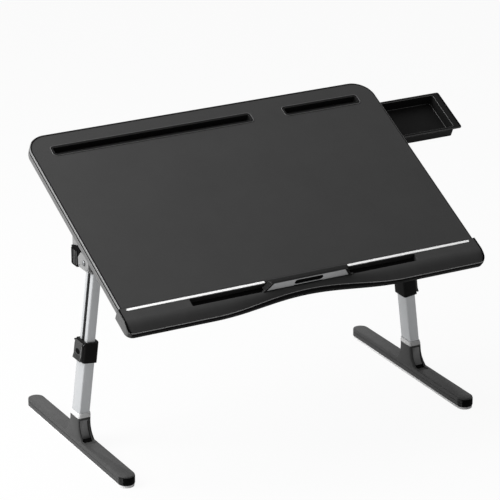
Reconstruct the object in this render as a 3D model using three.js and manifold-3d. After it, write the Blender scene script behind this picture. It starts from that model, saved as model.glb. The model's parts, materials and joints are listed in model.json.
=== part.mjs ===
// Lap desk with a tilting leather-topped board, a flip-up book stop, a side drawer and two folding,
// telescopic legs. Millimetres, +Z up, +Y from the sitter to the far edge, floor at z = 0.

import * as THREE from "three";
import { mergeVertices } from "three/addons/utils/BufferGeometryUtils.js";
import Module from "manifold-3d";

const wasm = await Module();
wasm.setup();

// Clearances and cuts
const SEAT = 0.3;
const RUNNING_GAP = 0.5;
const OVERRUN = 1;
const END_FLAT = 0.02;
const ARC_STEPS = 8;
const DEGREE = Math.PI / 180;

// Board: y = 0 is the grip strip, z = 0 the leather face
const BOARD_WIDTH = 720;
const BOARD_BACK_Y = 441;
const BOARD_THICKNESS = 19.5;
const BOARD_CORNER_RADIUS = 40;
const LEATHER_THICKNESS = 1.2;
const LEATHER_EDGE_INSET = 2.4;
const SKIN_THICKNESS = 1.5;
const TILT = 26.3 * DEGREE;

// Edge band round the sides and the back
const BAND_THICKNESS = 5;
const BAND_TOP_DROP = 1.4;
const BAND_RIDGES = 3;
const BAND_GROOVE_DEPTH = 0.9;
const BAND_GROOVE_WIDTH = 1.2;

// Front moulding
const MOULDING_OVERHANG = 4;
const MOULDING_BACK_Y = 5.4;
const MOULDING_FRONT_Y = -48.4;
const MOULDING_DEPTH = 22.7;
const MOULDING_END_RADIUS = 14;
const LIP_DROP = 12;
const LIP_SETBACK = 2.5;
const WAVE_HALF_WIDTH = 190;
const WAVE_DEPTH = 17;
const WAVE_STEPS = 14;

// Grip strip
const STRIP_HALF_LENGTH = 349;
const STRIP_WIDTH = 4.8;
const STRIP_SINK = 0.8;
const STRIP_PROUD = 0.8;

// Pen channel and the book stop that folds into it
const CHANNEL_HALF_LENGTH = 230;
const CHANNEL_FRONT_Y = -20.8;
const CHANNEL_BACK_Y = -3.6;
const CHANNEL_DEPTH = 11.5;
const STOP_BOTTOM_HALF_WIDTH = 88.5;
const STOP_TOP_HALF_WIDTH = 77;
const STOP_THICKNESS = 9;
const HEEL_STEPS = 48;
const STOP_RIM = 5.5;
const STOP_TOP_RIM = 1;
const STOP_FACE_THICKNESS = 1.6;
const FINGER_HALF_WIDTH = 29;
const FINGER_TOP_MARGIN = 3;
const FINGER_RADIUS = 5;
const FINGER_DEPTH = 4.5;
const EAR_RADIUS = 2.2;
const EAR_WIDTH = 3;
const STOP_PIN_RADIUS = 0.8;
const STOP_PIN_LENGTH = 6;

// Tablet and phone slots
const SLOT_BACK_Y = 404.3;
const SLOT_WIDTH = 15.3;
const SLOT_DEPTH = 13;
const SLOT_WALL = 1.5;
const SLOT_RIM = 5;
const SLOT_RIM_PROUD = 0.5;
const SLOT_CORNER_RADIUS = 3;
const TABLET_SLOT_LEFT_X = -317;
const TABLET_SLOT_LENGTH = 402.3;
const PHONE_SLOT_LEFT_X = 161.5;
const PHONE_SLOT_LENGTH = 154.6;

// Drawer, shown pulled out, and its rails
const DRAWER_FRONT_Y = 298;
const DRAWER_WIDTH = 99.8;
const DRAWER_LENGTH = 240;
const DRAWER_OPEN = 146.5;
const DRAWER_TOP_DROP = 21.3;
const DRAWER_DEPTH = 23.7;
const DRAWER_WALL = 2;
const DRAWER_RIM_WIDTH = 3.6;
const DRAWER_RIM_THICKNESS = 2.8;
const DRAWER_HANDLE_WIDTH = 14;
const DRAWER_CORNER_RADIUS = 4;
const RAIL_THICKNESS = 1.8;
const RAIL_FOOT = 2.6;
const RAIL_FLANGE = 12;
const RAIL_MARGIN = 3;

// Fold hinge under the board
const PIVOT_Y = 183.2;
const PIVOT_DROP = 71.6;
const FOLD_DROP = 34;
const FOLD_INSET = 15.5;
const BRACKET_PLATE_WIDTH = 40;
const BRACKET_PLATE_LENGTH = 64;
const BRACKET_PLATE_THICKNESS = 2.5;
const BRACKET_PLATE_RADIUS = 5;
const KNUCKLE_RADIUS = 7;
const KNUCKLE_LENGTH = 30;
const LUG_THICKNESS = 5;
const LUG_FOOT_HALF_WIDTH = 12;
const FOLD_PIN_RADIUS = 3;
const FOLD_PIN_HEAD_RADIUS = 5;
const FOLD_PIN_HEAD = 1.6;

// Tilt arm with its ratchet
const ARM_THICKNESS = 8;
const ARM_NECK_HALF_WIDTH = 10;
const ARM_EYE_RADIUS = 10.5;
const RATCHET_RADIUS = 19;
const RATCHET_TOOTH = 2.6;
const RATCHET_THICKNESS = 3;
const RATCHET_FROM = -46 * DEGREE;
const RATCHET_TEETH = 9;
const RATCHET_PITCH = 6.4 * DEGREE;

// Leg head round the tilt pivot
const PIVOT_HEIGHT = 351.8;
const HEAD_AXIS_SHIFT = 2.09;
const HEAD_HALF_WIDTH = 19.5;
const CHEEK_THICKNESS = 6;
const HEAD_FRONT = 18;
const HEAD_REAR = 51;
const HEAD_TOP = 45;
const HEAD_BOTTOM = 14;
const HEAD_BLOCK_TOP = 12.5;
const HEAD_BLOCK_BOTTOM = 17;
const HEAD_BLOCK_REAR = 15;
const HEAD_BLOCK_SLOPE = 4;
const HEAD_PLUG = 14;
const HEAD_CORNER_RADIUS = 7;
const HEAD_WEB_THICKNESS = 7.5;
const HEAD_WEB_SETBACK = 2;
const HEAD_WEB_FRONT = 4;
const INNER_CHEEK_TOP = 24;
const REAR_WALL = 6;
const TILT_PIN_RADIUS = 4;
const TILT_PIN_HEAD_RADIUS = 5.2;
const TILT_PIN_HEAD = 2.2;

// Tilt lock button
const BUTTON_FRONT = 25.5;
const BUTTON_TOP = 16;
const BUTTON_BOTTOM = 17;
const BUTTON_PROUD = 1;
const BUTTON_INNER = 8;
const BUTTON_EDGE_RADIUS = 3;
const BUTTON_STEM_RADIUS = 5;
const BUTTON_STEM_REACH = 18;
const PAWL_HALF_HEIGHT = 3.2;

// Legs
const LEG_SPLAY = 6.9 * DEGREE;
const SPLAY_HEIGHT = 42;
const FOOT_CENTRE_X = 352.6;
const NECK_TOP = 60;
const TUBE_WIDTH = 21;
const TUBE_LENGTH = 33;
const TUBE_WALL = 1.4;
const TUBE_RADIUS = 2.6;
const INNER_TUBE_END = 165;
const TUBE_TOP_GAP = 1.4;
const TRACK_WIDTH = 7;
const TRACK_END_MARGIN = 12;
const TRACK_TOP_MARGIN = 2;
const COLLAR_TOP = 203.5;
const COLLAR_HEIGHT = 38;
const COLLAR_WIDTH = 28;
const COLLAR_LENGTH = 38.6;
const COLLAR_RADIUS = 3.5;
const COLLAR_LIP = 8;
const THUMB_REST_HALF_WIDTH = 12;
const THUMB_REST_HEIGHT = 5.5;
const THUMB_REST_PROUD = 2.2;

// Height lever on each collar
const LEVER_WIDTH = 30;
const LEVER_BARREL_RADIUS = 1.7;
const LEVER_REACH = 33;
const LEVER_TIP_FLARE = 2;
const LEVER_TIP_HEIGHT = 11;
const LEVER_PIN_RADIUS = 0.8;
const LEVER_PIN_DROP = 3.4;
const LEVER_EAR_THICKNESS = 3;

// Feet
const FOOT_LENGTH = 411.6;
const FOOT_WIDTH = 30.3;
const FOOT_FRONT_HEIGHT = 22.4;
const FOOT_REAR_HEIGHT = 19;
const FOOT_EDGE_RADIUS = 1.6;
const FOOT_EDGE_SHOULDER = 0.48;
const FOOT_END_STEPS = 7;
const SOLE_THICKNESS = 4.4;
const SOLE_INSET = 0.6;
const NECK_WIDTH = 25.6;
const NECK_LENGTH = 37;
const NECK_RADIUS = 4;
const GUSSET_SPREAD = 21;
const GUSSET_STEPS = 7;
const LENGTH_FLARE_POWER = 3;
const WIDTH_FLARE_POWER = 2;
const NECK_SOCKET_DEPTH = 14;
const NECK_PANEL_WIDTH = 18;
const NECK_PANEL_DEPTH = 2.4;
const NECK_PANEL_MARGIN = 4;
const PIT_DEPTH = 4;
const PIT_REACH = 16;
const PIT_SLOPE = 7;
const FOOT_GROOVE_DROP = 5;
const FOOT_GROOVE_WIDTH = 1.4;
const FOOT_GROOVE_DEPTH = 0.7;
const BASE_RING_HEIGHT = 9;
const BASE_RING_TOP_WALL = 0.9;

// Places that follow from the sizes above
const HALF_WIDTH = BOARD_WIDTH / 2;
const HEAD_AXIS_X = FOOT_CENTRE_X - Math.tan(LEG_SPLAY) * (PIVOT_HEIGHT - SPLAY_HEIGHT);
const HEAD_CENTRE_X = HEAD_AXIS_X + HEAD_AXIS_SHIFT;
const INNER_TUBE_WIDTH = TUBE_WIDTH - 2 * (TUBE_WALL + SEAT);
const INNER_TUBE_LENGTH = TUBE_LENGTH - 2 * (TUBE_WALL + SEAT);
const MOULDING_HALF_WIDTH = HALF_WIDTH + MOULDING_OVERHANG;
const CORE_TOP = -(LEATHER_THICKNESS + SEAT);
const CORE_BOTTOM = -(BOARD_THICKNESS - SKIN_THICKNESS - SEAT);
const STOP_HEIGHT = CHANNEL_BACK_Y - CHANNEL_FRONT_Y - SEAT;
const FOLD_X = HEAD_CENTRE_X - FOLD_INSET;
const LUG_INNER = KNUCKLE_LENGTH / 2 + SEAT;
const LUG_OUTER = LUG_INNER + LUG_THICKNESS;
const CHEEK_INNER = HEAD_HALF_WIDTH - CHEEK_THICKNESS;

// Materials
function matte(name, color, roughness, metalness = 0) {
  const material = new THREE.MeshStandardMaterial({ color, roughness, metalness });
  material.name = name;
  return material;
}

const leather = matte("leather", 0x3a3b3d, 0.62);
const blackPlastic = matte("black plastic", 0x2a2b2d, 0.5);
const edgePlastic = matte("edge plastic", 0x4c4e50, 0.42);
const fibreboard = matte("fibreboard", 0x6a5a48, 0.85);
const laminate = matte("laminate", 0x2b2c2e, 0.7);
const silicone = matte("white silicone", 0xf0f0ee, 0.6);
const greyPlastic = matte("grey plastic", 0x969fa2, 0.4);
const housingPlastic = matte("housing plastic", 0xa9adb0, 0.45);
const ringPlastic = matte("ring plastic", 0xcdcfd0, 0.45);
const aluminium = matte("aluminium", 0xc9cbcd, 0.35, 0.9);
const steel = matte("steel", 0x8d9093, 0.35, 1);
const footPlastic = matte("foot plastic", 0x4a4b4e, 0.55);
const soleRubber = matte("sole rubber", 0xb4b5b5, 0.8);

// Outlines
function at(u, v) {
  return new THREE.Vector2(u, v);
}

function arc(u, v, radius, from, to, steps = ARC_STEPS) {
  const points = [];
  for (let i = 0; i <= steps; i += 1) {
    const angle = from + ((to - from) * i) / steps;
    points.push(at(u + radius * Math.cos(angle), v + radius * Math.sin(angle)));
  }
  return points;
}

function roundedBox(u0, v0, u1, v1, radius, steps = ARC_STEPS) {
  return [
    ...arc(u1 - radius, v0 + radius, radius, -Math.PI / 2, 0, steps),
    ...arc(u1 - radius, v1 - radius, radius, 0, Math.PI / 2, steps),
    ...arc(u0 + radius, v1 - radius, radius, Math.PI / 2, Math.PI, steps),
    ...arc(u0 + radius, v0 + radius, radius, Math.PI, Math.PI * 1.5, steps),
  ];
}

function centredBox(width, length, radius, steps = ARC_STEPS) {
  return roundedBox(-width / 2, -length / 2, width / 2, length / 2, radius, steps);
}

function squareBox(u0, v0, u1, v1) {
  return [at(u0, v0), at(u1, v0), at(u1, v1), at(u0, v1)];
}

// Prisms along each axis, from an outline in the two other axes
function prismZ(outline, z0, z1, holes = []) {
  const shape = new THREE.Shape(outline);
  for (const hole of holes) shape.holes.push(new THREE.Path(hole));
  const geometry = new THREE.ExtrudeGeometry(shape, { depth: z1 - z0, bevelEnabled: false });
  return geometry.translate(0, 0, z0);
}

function prismX(outline, x0, x1) {
  const turn = new THREE.Matrix4().makeBasis(
    new THREE.Vector3(0, 1, 0),
    new THREE.Vector3(0, 0, 1),
    new THREE.Vector3(1, 0, 0),
  );
  return prismZ(outline, x0, x1).applyMatrix4(turn);
}

function prismY(outline, y0, y1) {
  return prismZ(outline, -y1, -y0).rotateX(Math.PI / 2);
}

function circle(u, v, radius, steps = 3 * ARC_STEPS) {
  return arc(u, v, radius, 0, 2 * Math.PI, steps).slice(0, steps);
}

// Closed skin over rings of equal point count, the first and last ring capped
function loft(rings, capOutline) {
  const count = rings[0].length;
  const positions = rings.flat().flatMap((point) => [point.x, point.y, point.z]);
  const index = [];
  for (let r = 0; r + 1 < rings.length; r += 1) {
    for (let i = 0; i < count; i += 1) {
      const j = (i + 1) % count;
      const [a, b, c, d] = [r * count + i, r * count + j, (r + 1) * count + j, (r + 1) * count + i];
      index.push(a, b, c, a, c, d);
    }
  }
  const last = (rings.length - 1) * count;
  for (const [a, b, c] of THREE.ShapeUtils.triangulateShape(capOutline, [])) {
    index.push(a, c, b, last + a, last + b, last + c);
  }
  const geometry = new THREE.BufferGeometry();
  geometry.setAttribute("position", new THREE.Float32BufferAttribute(positions, 3));
  geometry.setIndex(index);
  return geometry;
}

// Boolean joins and cuts
function solid(geometry) {
  const bare = geometry.clone();
  bare.deleteAttribute("normal");
  bare.deleteAttribute("uv");
  const merged = mergeVertices(bare);
  const mesh = new wasm.Mesh({
    numProp: 3,
    vertProperties: new Float32Array(merged.attributes.position.array),
    triVerts: new Uint32Array(merged.index.array),
  });
  return new wasm.Manifold(mesh);
}

function geometryOf(manifold) {
  const { vertProperties, triVerts } = manifold.getMesh();
  const geometry = new THREE.BufferGeometry();
  geometry.setAttribute("position", new THREE.BufferAttribute(vertProperties, 3));
  geometry.setIndex(new THREE.BufferAttribute(triVerts, 1));
  return geometry;
}

function join(...geometries) {
  return geometryOf(geometries.map(solid).reduce((whole, piece) => whole.add(piece)));
}

function cut(base, ...tools) {
  return geometryOf(tools.map(solid).reduce((rest, tool) => rest.subtract(tool), solid(base)));
}

function common(first, second) {
  return geometryOf(solid(first).intersect(solid(second)));
}

function piece(name, geometry, material) {
  const flat = geometry.index ? geometry.toNonIndexed() : geometry;
  flat.computeVertexNormals();
  const mesh = new THREE.Mesh(flat, material);
  mesh.name = name;
  return mesh;
}

// Board plan: square at the moulding, rounded at the back, drawn in by an inset
function boardPlan(inset, frontY) {
  const x = HALF_WIDTH - inset;
  const y = BOARD_BACK_Y - inset;
  const radius = BOARD_CORNER_RADIUS - inset;
  return [
    at(-x, frontY),
    at(x, frontY),
    ...arc(x - radius, y - radius, radius, 0, Math.PI / 2),
    ...arc(-x + radius, y - radius, radius, Math.PI / 2, Math.PI),
  ];
}

function slotPlan(leftX, length, grow) {
  const frontY = SLOT_BACK_Y - SLOT_WIDTH;
  const radius = SLOT_CORNER_RADIUS + grow;
  return roundedBox(
    leftX - grow,
    frontY - grow,
    leftX + length + grow,
    SLOT_BACK_Y + grow,
    radius,
    ARC_STEPS / 2,
  );
}

function bothSlots(grow) {
  return [
    slotPlan(TABLET_SLOT_LEFT_X, TABLET_SLOT_LENGTH, grow),
    slotPlan(PHONE_SLOT_LEFT_X, PHONE_SLOT_LENGTH, grow),
  ];
}

// Leather sheet, glued on the core and cut out round the slot rims
function leatherTop() {
  const plan = boardPlan(LEATHER_EDGE_INSET, MOULDING_BACK_Y + SEAT);
  const geometry = prismZ(plan, -LEATHER_THICKNESS, 0, bothSlots(SLOT_RIM + SEAT));
  return piece("leather_top", geometry, leather);
}

// Fibreboard core with the two slots routed through it
function boardCore() {
  const plan = boardPlan(BAND_THICKNESS + SEAT, MOULDING_BACK_Y + SEAT);
  const geometry = prismZ(plan, CORE_BOTTOM, CORE_TOP, bothSlots(SLOT_WALL + SEAT));
  return piece("board_core", geometry, fibreboard);
}

// Laminate skin that closes the underside
function undersideSkin() {
  const plan = boardPlan(BAND_THICKNESS + SEAT, MOULDING_BACK_Y + SEAT);
  const geometry = prismZ(plan, -BOARD_THICKNESS, -(BOARD_THICKNESS - SKIN_THICKNESS));
  return piece("underside_skin", geometry, laminate);
}

// Section of the edge band, ribbed on its outer face: u outwards, v up
function bandSection() {
  const bottom = -BOARD_THICKNESS;
  const top = -BAND_TOP_DROP;
  const pitch = (top - bottom) / BAND_RIDGES;
  const points = [at(-BAND_THICKNESS, bottom)];
  for (let i = 0; i < BAND_RIDGES; i += 1) {
    const foot = bottom + i * pitch;
    points.push(at(-BAND_GROOVE_DEPTH, foot));
    points.push(at(0, foot + BAND_GROOVE_WIDTH));
    points.push(at(0, foot + pitch - BAND_GROOVE_WIDTH));
    if (i === BAND_RIDGES - 1) points.push(at(-BAND_GROOVE_DEPTH, foot + pitch));
  }
  points.push(at(-BAND_THICKNESS, top));
  return points;
}

// Edge band: its section swept round both sides and the back
function edgeBand() {
  const section = bandSection();
  const corner = at(HALF_WIDTH - BOARD_CORNER_RADIUS, BOARD_BACK_Y - BOARD_CORNER_RADIUS);
  const stations = [{ x: HALF_WIDTH, y: MOULDING_BACK_Y + SEAT, angle: 0 }];
  for (let side = 0; side < 2; side += 1) {
    for (let i = 0; i <= ARC_STEPS; i += 1) {
      const angle = (Math.PI / 2) * (side + i / ARC_STEPS);
      const centreX = side === 0 ? corner.x : -corner.x;
      stations.push({
        x: centreX + BOARD_CORNER_RADIUS * Math.cos(angle),
        y: corner.y + BOARD_CORNER_RADIUS * Math.sin(angle),
        angle,
      });
    }
  }
  stations.push({ x: -HALF_WIDTH, y: MOULDING_BACK_Y + SEAT, angle: Math.PI });
  const rings = stations.map(({ x, y, angle }) =>
    section.map((p) => new THREE.Vector3(x + p.x * Math.cos(angle), y + p.x * Math.sin(angle), p.y)),
  );
  return piece("edge_band", loft(rings.reverse(), section), edgePlastic);
}

// Front edge of the moulding at a place along it: a shallow wave in the middle, rounded ends
function mouldingFront(x) {
  const wave = Math.abs(x) < WAVE_HALF_WIDTH ? (1 + Math.cos((Math.PI * x) / WAVE_HALF_WIDTH)) / 2 : 0;
  const past = Math.max(0, Math.abs(x) - (MOULDING_HALF_WIDTH - MOULDING_END_RADIUS));
  const round = MOULDING_END_RADIUS - Math.sqrt(Math.max(0, MOULDING_END_RADIUS ** 2 - past ** 2));
  return MOULDING_FRONT_Y + WAVE_DEPTH * wave + round;
}

// Section of the moulding: hollow face from the channel edge down to the lip. Each point is a
// share of the way from the channel edge to the front, and of the way from the top to the lip.
const FACE_SHARES = [
  [0.0, 0.0],
  [0.2, 0.03],
  [0.42, 0.17],
  [0.62, 0.42],
  [0.8, 0.72],
  [0.91, 0.9],
  [1.0, 1.0],
];

function mouldingSection(frontY) {
  const edgeY = CHANNEL_FRONT_Y - SEAT;
  const face = FACE_SHARES.map(([along, down]) => at(edgeY + (frontY - edgeY) * along, -LIP_DROP * down));
  return [
    at(MOULDING_BACK_Y, 0),
    ...face,
    at(frontY, -(LIP_DROP + LIP_SETBACK)),
    at(frontY + LIP_SETBACK, -MOULDING_DEPTH),
    at(MOULDING_BACK_Y, -MOULDING_DEPTH),
  ];
}

function mouldingBody() {
  const inner = MOULDING_HALF_WIDTH - MOULDING_END_RADIUS;
  const half = [];
  for (let i = 0; i <= WAVE_STEPS; i += 1) half.push((WAVE_HALF_WIDTH * i) / WAVE_STEPS);
  for (let i = 0; i <= ARC_STEPS; i += 1) {
    half.push(inner + MOULDING_END_RADIUS * Math.sin(((Math.PI / 2) * i) / ARC_STEPS));
  }
  const stations = [...half.slice(1).map((x) => -x).reverse(), ...half];
  const rings = stations.map((x) =>
    mouldingSection(mouldingFront(x)).map((p) => new THREE.Vector3(x, p.x, p.y)),
  );
  return loft(rings, mouldingSection(mouldingFront(WAVE_HALF_WIDTH)));
}

function stripPlan(grow) {
  const half = STRIP_WIDTH / 2 + grow;
  const reach = STRIP_HALF_LENGTH + grow;
  return roundedBox(-reach, -half, reach, half, half - END_FLAT, ARC_STEPS / 2);
}

// Moulded front rail: pen channel, groove for the grip strip, bosses for the book stop
function frontMoulding() {
  const channel = prismZ(
    squareBox(-CHANNEL_HALF_LENGTH, CHANNEL_FRONT_Y, CHANNEL_HALF_LENGTH, CHANNEL_BACK_Y),
    -CHANNEL_DEPTH,
    OVERRUN,
  );
  const groove = prismZ(stripPlan(SEAT), -(STRIP_SINK + SEAT), OVERRUN);
  const cuts = [channel, groove];
  const bosses = [];
  for (const side of [-1, 1]) {
    const inner = side * (STOP_BOTTOM_HALF_WIDTH - EAR_WIDTH - SEAT);
    const outer = side * (STOP_BOTTOM_HALF_WIDTH + SEAT);
    const end = side * (STOP_BOTTOM_HALF_WIDTH + SEAT + EAR_WIDTH);
    const low = Math.min(outer, end);
    const high = Math.max(outer, end);
    cuts.push(
      prismX(circle(CHANNEL_FRONT_Y, 0, EAR_RADIUS + SEAT), Math.min(inner, outer), Math.max(inner, outer)),
    );
    bosses.push(prismX(circle(CHANNEL_FRONT_Y, 0, EAR_RADIUS), low, high));
  }
  const bores = [-1, 1].map((side) => {
    const reach = STOP_BOTTOM_HALF_WIDTH + STOP_PIN_LENGTH;
    const line = circle(CHANNEL_FRONT_Y, 0, STOP_PIN_RADIUS + SEAT, ARC_STEPS);
    return side < 0 ? prismX(line, -reach, 0) : prismX(line, 0, reach);
  });
  const geometry = cut(join(cut(mouldingBody(), ...cuts), ...bosses), ...bores);
  return piece("front_moulding", geometry, blackPlastic);
}

// White silicone strip laid in the moulding's groove
function gripStrip() {
  return piece("grip_strip", prismZ(stripPlan(0), -STRIP_SINK, STRIP_PROUD), silicone);
}

// Trough let into the board: walls, floor and a rim that stands a little proud
function slotTray(name, leftX, length) {
  const outside = join(
    prismZ(slotPlan(leftX, length, SLOT_RIM), -LEATHER_THICKNESS, SLOT_RIM_PROUD),
    prismZ(slotPlan(leftX, length, SLOT_WALL), -(SLOT_DEPTH + SLOT_WALL), 0),
  );
  const inside = prismZ(slotPlan(leftX, length, 0), -SLOT_DEPTH, SLOT_RIM_PROUD + OVERRUN);
  return piece(name, cut(outside, inside), blackPlastic);
}

// Book stop in its raised place: it hinges on the front edge of the channel, and its heel is
// rounded about the hinge to pass the channel's back wall as it folds
function stopOutline(sideRim, topRim, lift) {
  const slope = (STOP_BOTTOM_HALF_WIDTH - STOP_TOP_HALF_WIDTH) / STOP_HEIGHT;
  const height = STOP_HEIGHT - topRim;
  const bottom = STOP_BOTTOM_HALF_WIDTH - sideRim - slope * lift;
  const top = STOP_BOTTOM_HALF_WIDTH - sideRim - slope * height;
  return [at(-bottom, lift), at(bottom, lift), at(top, height), at(-top, height)];
}

function fingerOutline() {
  const top = STOP_HEIGHT - FINGER_TOP_MARGIN - FINGER_RADIUS;
  const side = FINGER_HALF_WIDTH - FINGER_RADIUS;
  return [
    at(-FINGER_HALF_WIDTH, -OVERRUN),
    at(FINGER_HALF_WIDTH, -OVERRUN),
    ...arc(side, top, FINGER_RADIUS, 0, Math.PI / 2, ARC_STEPS / 2),
    ...arc(-side, top, FINGER_RADIUS, Math.PI / 2, Math.PI, ARC_STEPS / 2),
  ];
}

function stopBody() {
  const front = CHANNEL_FRONT_Y;
  const slab = prismY(stopOutline(0, 0, SEAT), front, front + STOP_THICKNESS);
  const reach = STOP_BOTTOM_HALF_WIDTH + OVERRUN;
  const heel = prismX(circle(front, 0, STOP_HEIGHT, HEEL_STEPS), -reach, reach);
  const block = common(slab, heel);
  const recess = prismY(
    stopOutline(STOP_RIM - SEAT, STOP_TOP_RIM - SEAT, -OVERRUN),
    front - OVERRUN,
    front + STOP_FACE_THICKNESS,
  );
  const finger = prismY(fingerOutline(), front - OVERRUN, front + STOP_FACE_THICKNESS + FINGER_DEPTH);
  const ears = [];
  const bores = [];
  for (const side of [-1, 1]) {
    const a = side * STOP_BOTTOM_HALF_WIDTH;
    const b = side * (STOP_BOTTOM_HALF_WIDTH - EAR_WIDTH);
    const c = side * (STOP_BOTTOM_HALF_WIDTH + OVERRUN);
    ears.push(prismX(circle(front, 0, EAR_RADIUS), Math.min(a, b), Math.max(a, b)));
    const bore = circle(front, 0, STOP_PIN_RADIUS + SEAT, ARC_STEPS);
    bores.push(prismX(bore, Math.min(b, c), Math.max(b, c)));
  }
  const geometry = cut(join(cut(block, recess, finger), ...ears), ...bores);
  return piece("book_stop", geometry, blackPlastic);
}

function stopFace() {
  const front = CHANNEL_FRONT_Y;
  const outline = stopOutline(STOP_RIM, STOP_TOP_RIM, SEAT);
  const plate = prismY(outline, front, front + STOP_FACE_THICKNESS - SEAT);
  const finger = prismY(fingerOutline(), front - OVERRUN, front + STOP_FACE_THICKNESS);
  return piece("book_stop_face", cut(plate, finger), greyPlastic);
}

function stopPin(name, side) {
  const inner = side * (STOP_BOTTOM_HALF_WIDTH - EAR_WIDTH + SEAT);
  const outer = inner + side * (STOP_PIN_LENGTH - SEAT);
  const line = circle(CHANNEL_FRONT_Y, 0, STOP_PIN_RADIUS, ARC_STEPS);
  return piece(name, prismX(line, Math.min(inner, outer), Math.max(inner, outer)), steel);
}

// Drawer: a moulded tub with a rim that hangs in the rails and a wider lip to pull it by
function drawer() {
  const innerX = HALF_WIDTH + DRAWER_OPEN - DRAWER_LENGTH;
  const outerX = HALF_WIDTH + DRAWER_OPEN;
  const backY = DRAWER_FRONT_Y + DRAWER_WIDTH;
  const top = -DRAWER_TOP_DROP;
  const rim = prismZ(
    roundedBox(innerX, DRAWER_FRONT_Y, outerX, backY, DRAWER_CORNER_RADIUS, ARC_STEPS / 2),
    top - DRAWER_RIM_THICKNESS,
    top,
  );
  const tubPlan = (inset) =>
    roundedBox(
      innerX + DRAWER_RIM_WIDTH + inset,
      DRAWER_FRONT_Y + DRAWER_RIM_WIDTH + inset,
      outerX - DRAWER_HANDLE_WIDTH - inset,
      backY - DRAWER_RIM_WIDTH - inset,
      DRAWER_CORNER_RADIUS,
      ARC_STEPS / 2,
    );
  const tub = prismZ(tubPlan(0), top - DRAWER_DEPTH, top - DRAWER_RIM_THICKNESS / 2);
  const hollow = prismZ(tubPlan(DRAWER_WALL), top - DRAWER_DEPTH + DRAWER_WALL, top + OVERRUN);
  const lipFront = DRAWER_FRONT_Y + DRAWER_CORNER_RADIUS;
  const lipDrop = prismZ(
    squareBox(outerX - DRAWER_WALL, lipFront, outerX, backY - DRAWER_CORNER_RADIUS),
    top - 2 * DRAWER_RIM_THICKNESS,
    top - DRAWER_RIM_THICKNESS / 2,
  );
  return piece("drawer", cut(join(rim, tub, lipDrop), hollow), blackPlastic);
}

// Rail under each side of the drawer: screwed flange, web and a foot under the drawer's rim
function drawerRail(name, side) {
  const rimY = side < 0 ? DRAWER_FRONT_Y : DRAWER_FRONT_Y + DRAWER_WIDTH;
  const top = -(BOARD_THICKNESS + SEAT);
  const under = -(DRAWER_TOP_DROP + DRAWER_RIM_THICKNESS + SEAT);
  const place = (out, z) => at(rimY + side * out, z);
  const outline = [
    place(SEAT, top),
    place(SEAT + RAIL_FLANGE, top),
    place(SEAT + RAIL_FLANGE, top - RAIL_THICKNESS),
    place(SEAT + RAIL_THICKNESS, top - RAIL_THICKNESS),
    place(SEAT + RAIL_THICKNESS, under - RAIL_THICKNESS),
    place(-RAIL_FOOT, under - RAIL_THICKNESS),
    place(-RAIL_FOOT, under),
    place(SEAT, under),
  ];
  if (side < 0) outline.reverse();
  const outerX = HALF_WIDTH - BAND_THICKNESS - RAIL_MARGIN;
  const innerX = HALF_WIDTH - DRAWER_LENGTH;
  return piece(name, prismX(outline, innerX, outerX), steel);
}

// Fold bracket screwed under the board: plate and two lugs that hold the fold pin
function foldBracket(name) {
  const top = -(BOARD_THICKNESS + SEAT);
  const plateBottom = top - BRACKET_PLATE_THICKNESS;
  const plate = prismZ(
    roundedBox(
      FOLD_X - BRACKET_PLATE_WIDTH / 2,
      PIVOT_Y - BRACKET_PLATE_LENGTH / 2,
      FOLD_X + BRACKET_PLATE_WIDTH / 2,
      PIVOT_Y + BRACKET_PLATE_LENGTH / 2,
      BRACKET_PLATE_RADIUS,
      ARC_STEPS / 2,
    ),
    plateBottom,
    top,
  );
  const lugOutline = [
    at(FOLD_X + LUG_FOOT_HALF_WIDTH, plateBottom + SEAT),
    at(FOLD_X - LUG_FOOT_HALF_WIDTH, plateBottom + SEAT),
    ...arc(FOLD_X, -FOLD_DROP, KNUCKLE_RADIUS, Math.PI, 2 * Math.PI),
  ];
  const lugs = [-1, 1].map((side) => {
    const a = PIVOT_Y + side * LUG_INNER;
    const b = PIVOT_Y + side * LUG_OUTER;
    return prismY(lugOutline, Math.min(a, b), Math.max(a, b));
  });
  const bore = prismY(
    circle(FOLD_X, -FOLD_DROP, FOLD_PIN_RADIUS + SEAT, 2 * ARC_STEPS),
    PIVOT_Y - LUG_OUTER - OVERRUN,
    PIVOT_Y + LUG_OUTER + OVERRUN,
  );
  return piece(name, cut(join(plate, ...lugs), bore), steel);
}

// Headed pin turned on a lathe, along +Y from its shank end
function turnedPin(radius, headRadius, head, length) {
  const profile = [
    at(0, 0),
    at(radius, 0),
    at(radius, length),
    at(headRadius, length),
    at(headRadius, length + head / 2),
    at(headRadius - head / 2, length + head),
    at(0, length + head),
  ];
  return new THREE.LatheGeometry(profile, 2 * ARC_STEPS);
}

function foldPin(name) {
  const length = 2 * LUG_OUTER + SEAT;
  const mesh = piece(name, turnedPin(FOLD_PIN_RADIUS, FOLD_PIN_HEAD_RADIUS, FOLD_PIN_HEAD, length), steel);
  mesh.position.set(FOLD_X, PIVOT_Y - LUG_OUTER, -FOLD_DROP);
  return mesh;
}

// Tilt arm: knuckle round the fold pin, web, eye round the tilt pin and a ratchet sector
function ratchetOutline() {
  const points = [at(0, 0)];
  for (let i = 0; i < RATCHET_TEETH; i += 1) {
    const start = RATCHET_FROM + i * RATCHET_PITCH;
    const steps = [
      [RATCHET_RADIUS, 0],
      [RATCHET_RADIUS + RATCHET_TOOTH, RATCHET_PITCH / 3],
      [RATCHET_RADIUS + RATCHET_TOOTH, RATCHET_PITCH / 2],
    ];
    for (const [radius, turn] of steps) {
      points.push(at(radius * Math.cos(start + turn), radius * Math.sin(start + turn)));
    }
  }
  const end = RATCHET_FROM + RATCHET_TEETH * RATCHET_PITCH;
  points.push(at(RATCHET_RADIUS * Math.cos(end), RATCHET_RADIUS * Math.sin(end)));
  return points;
}

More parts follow.
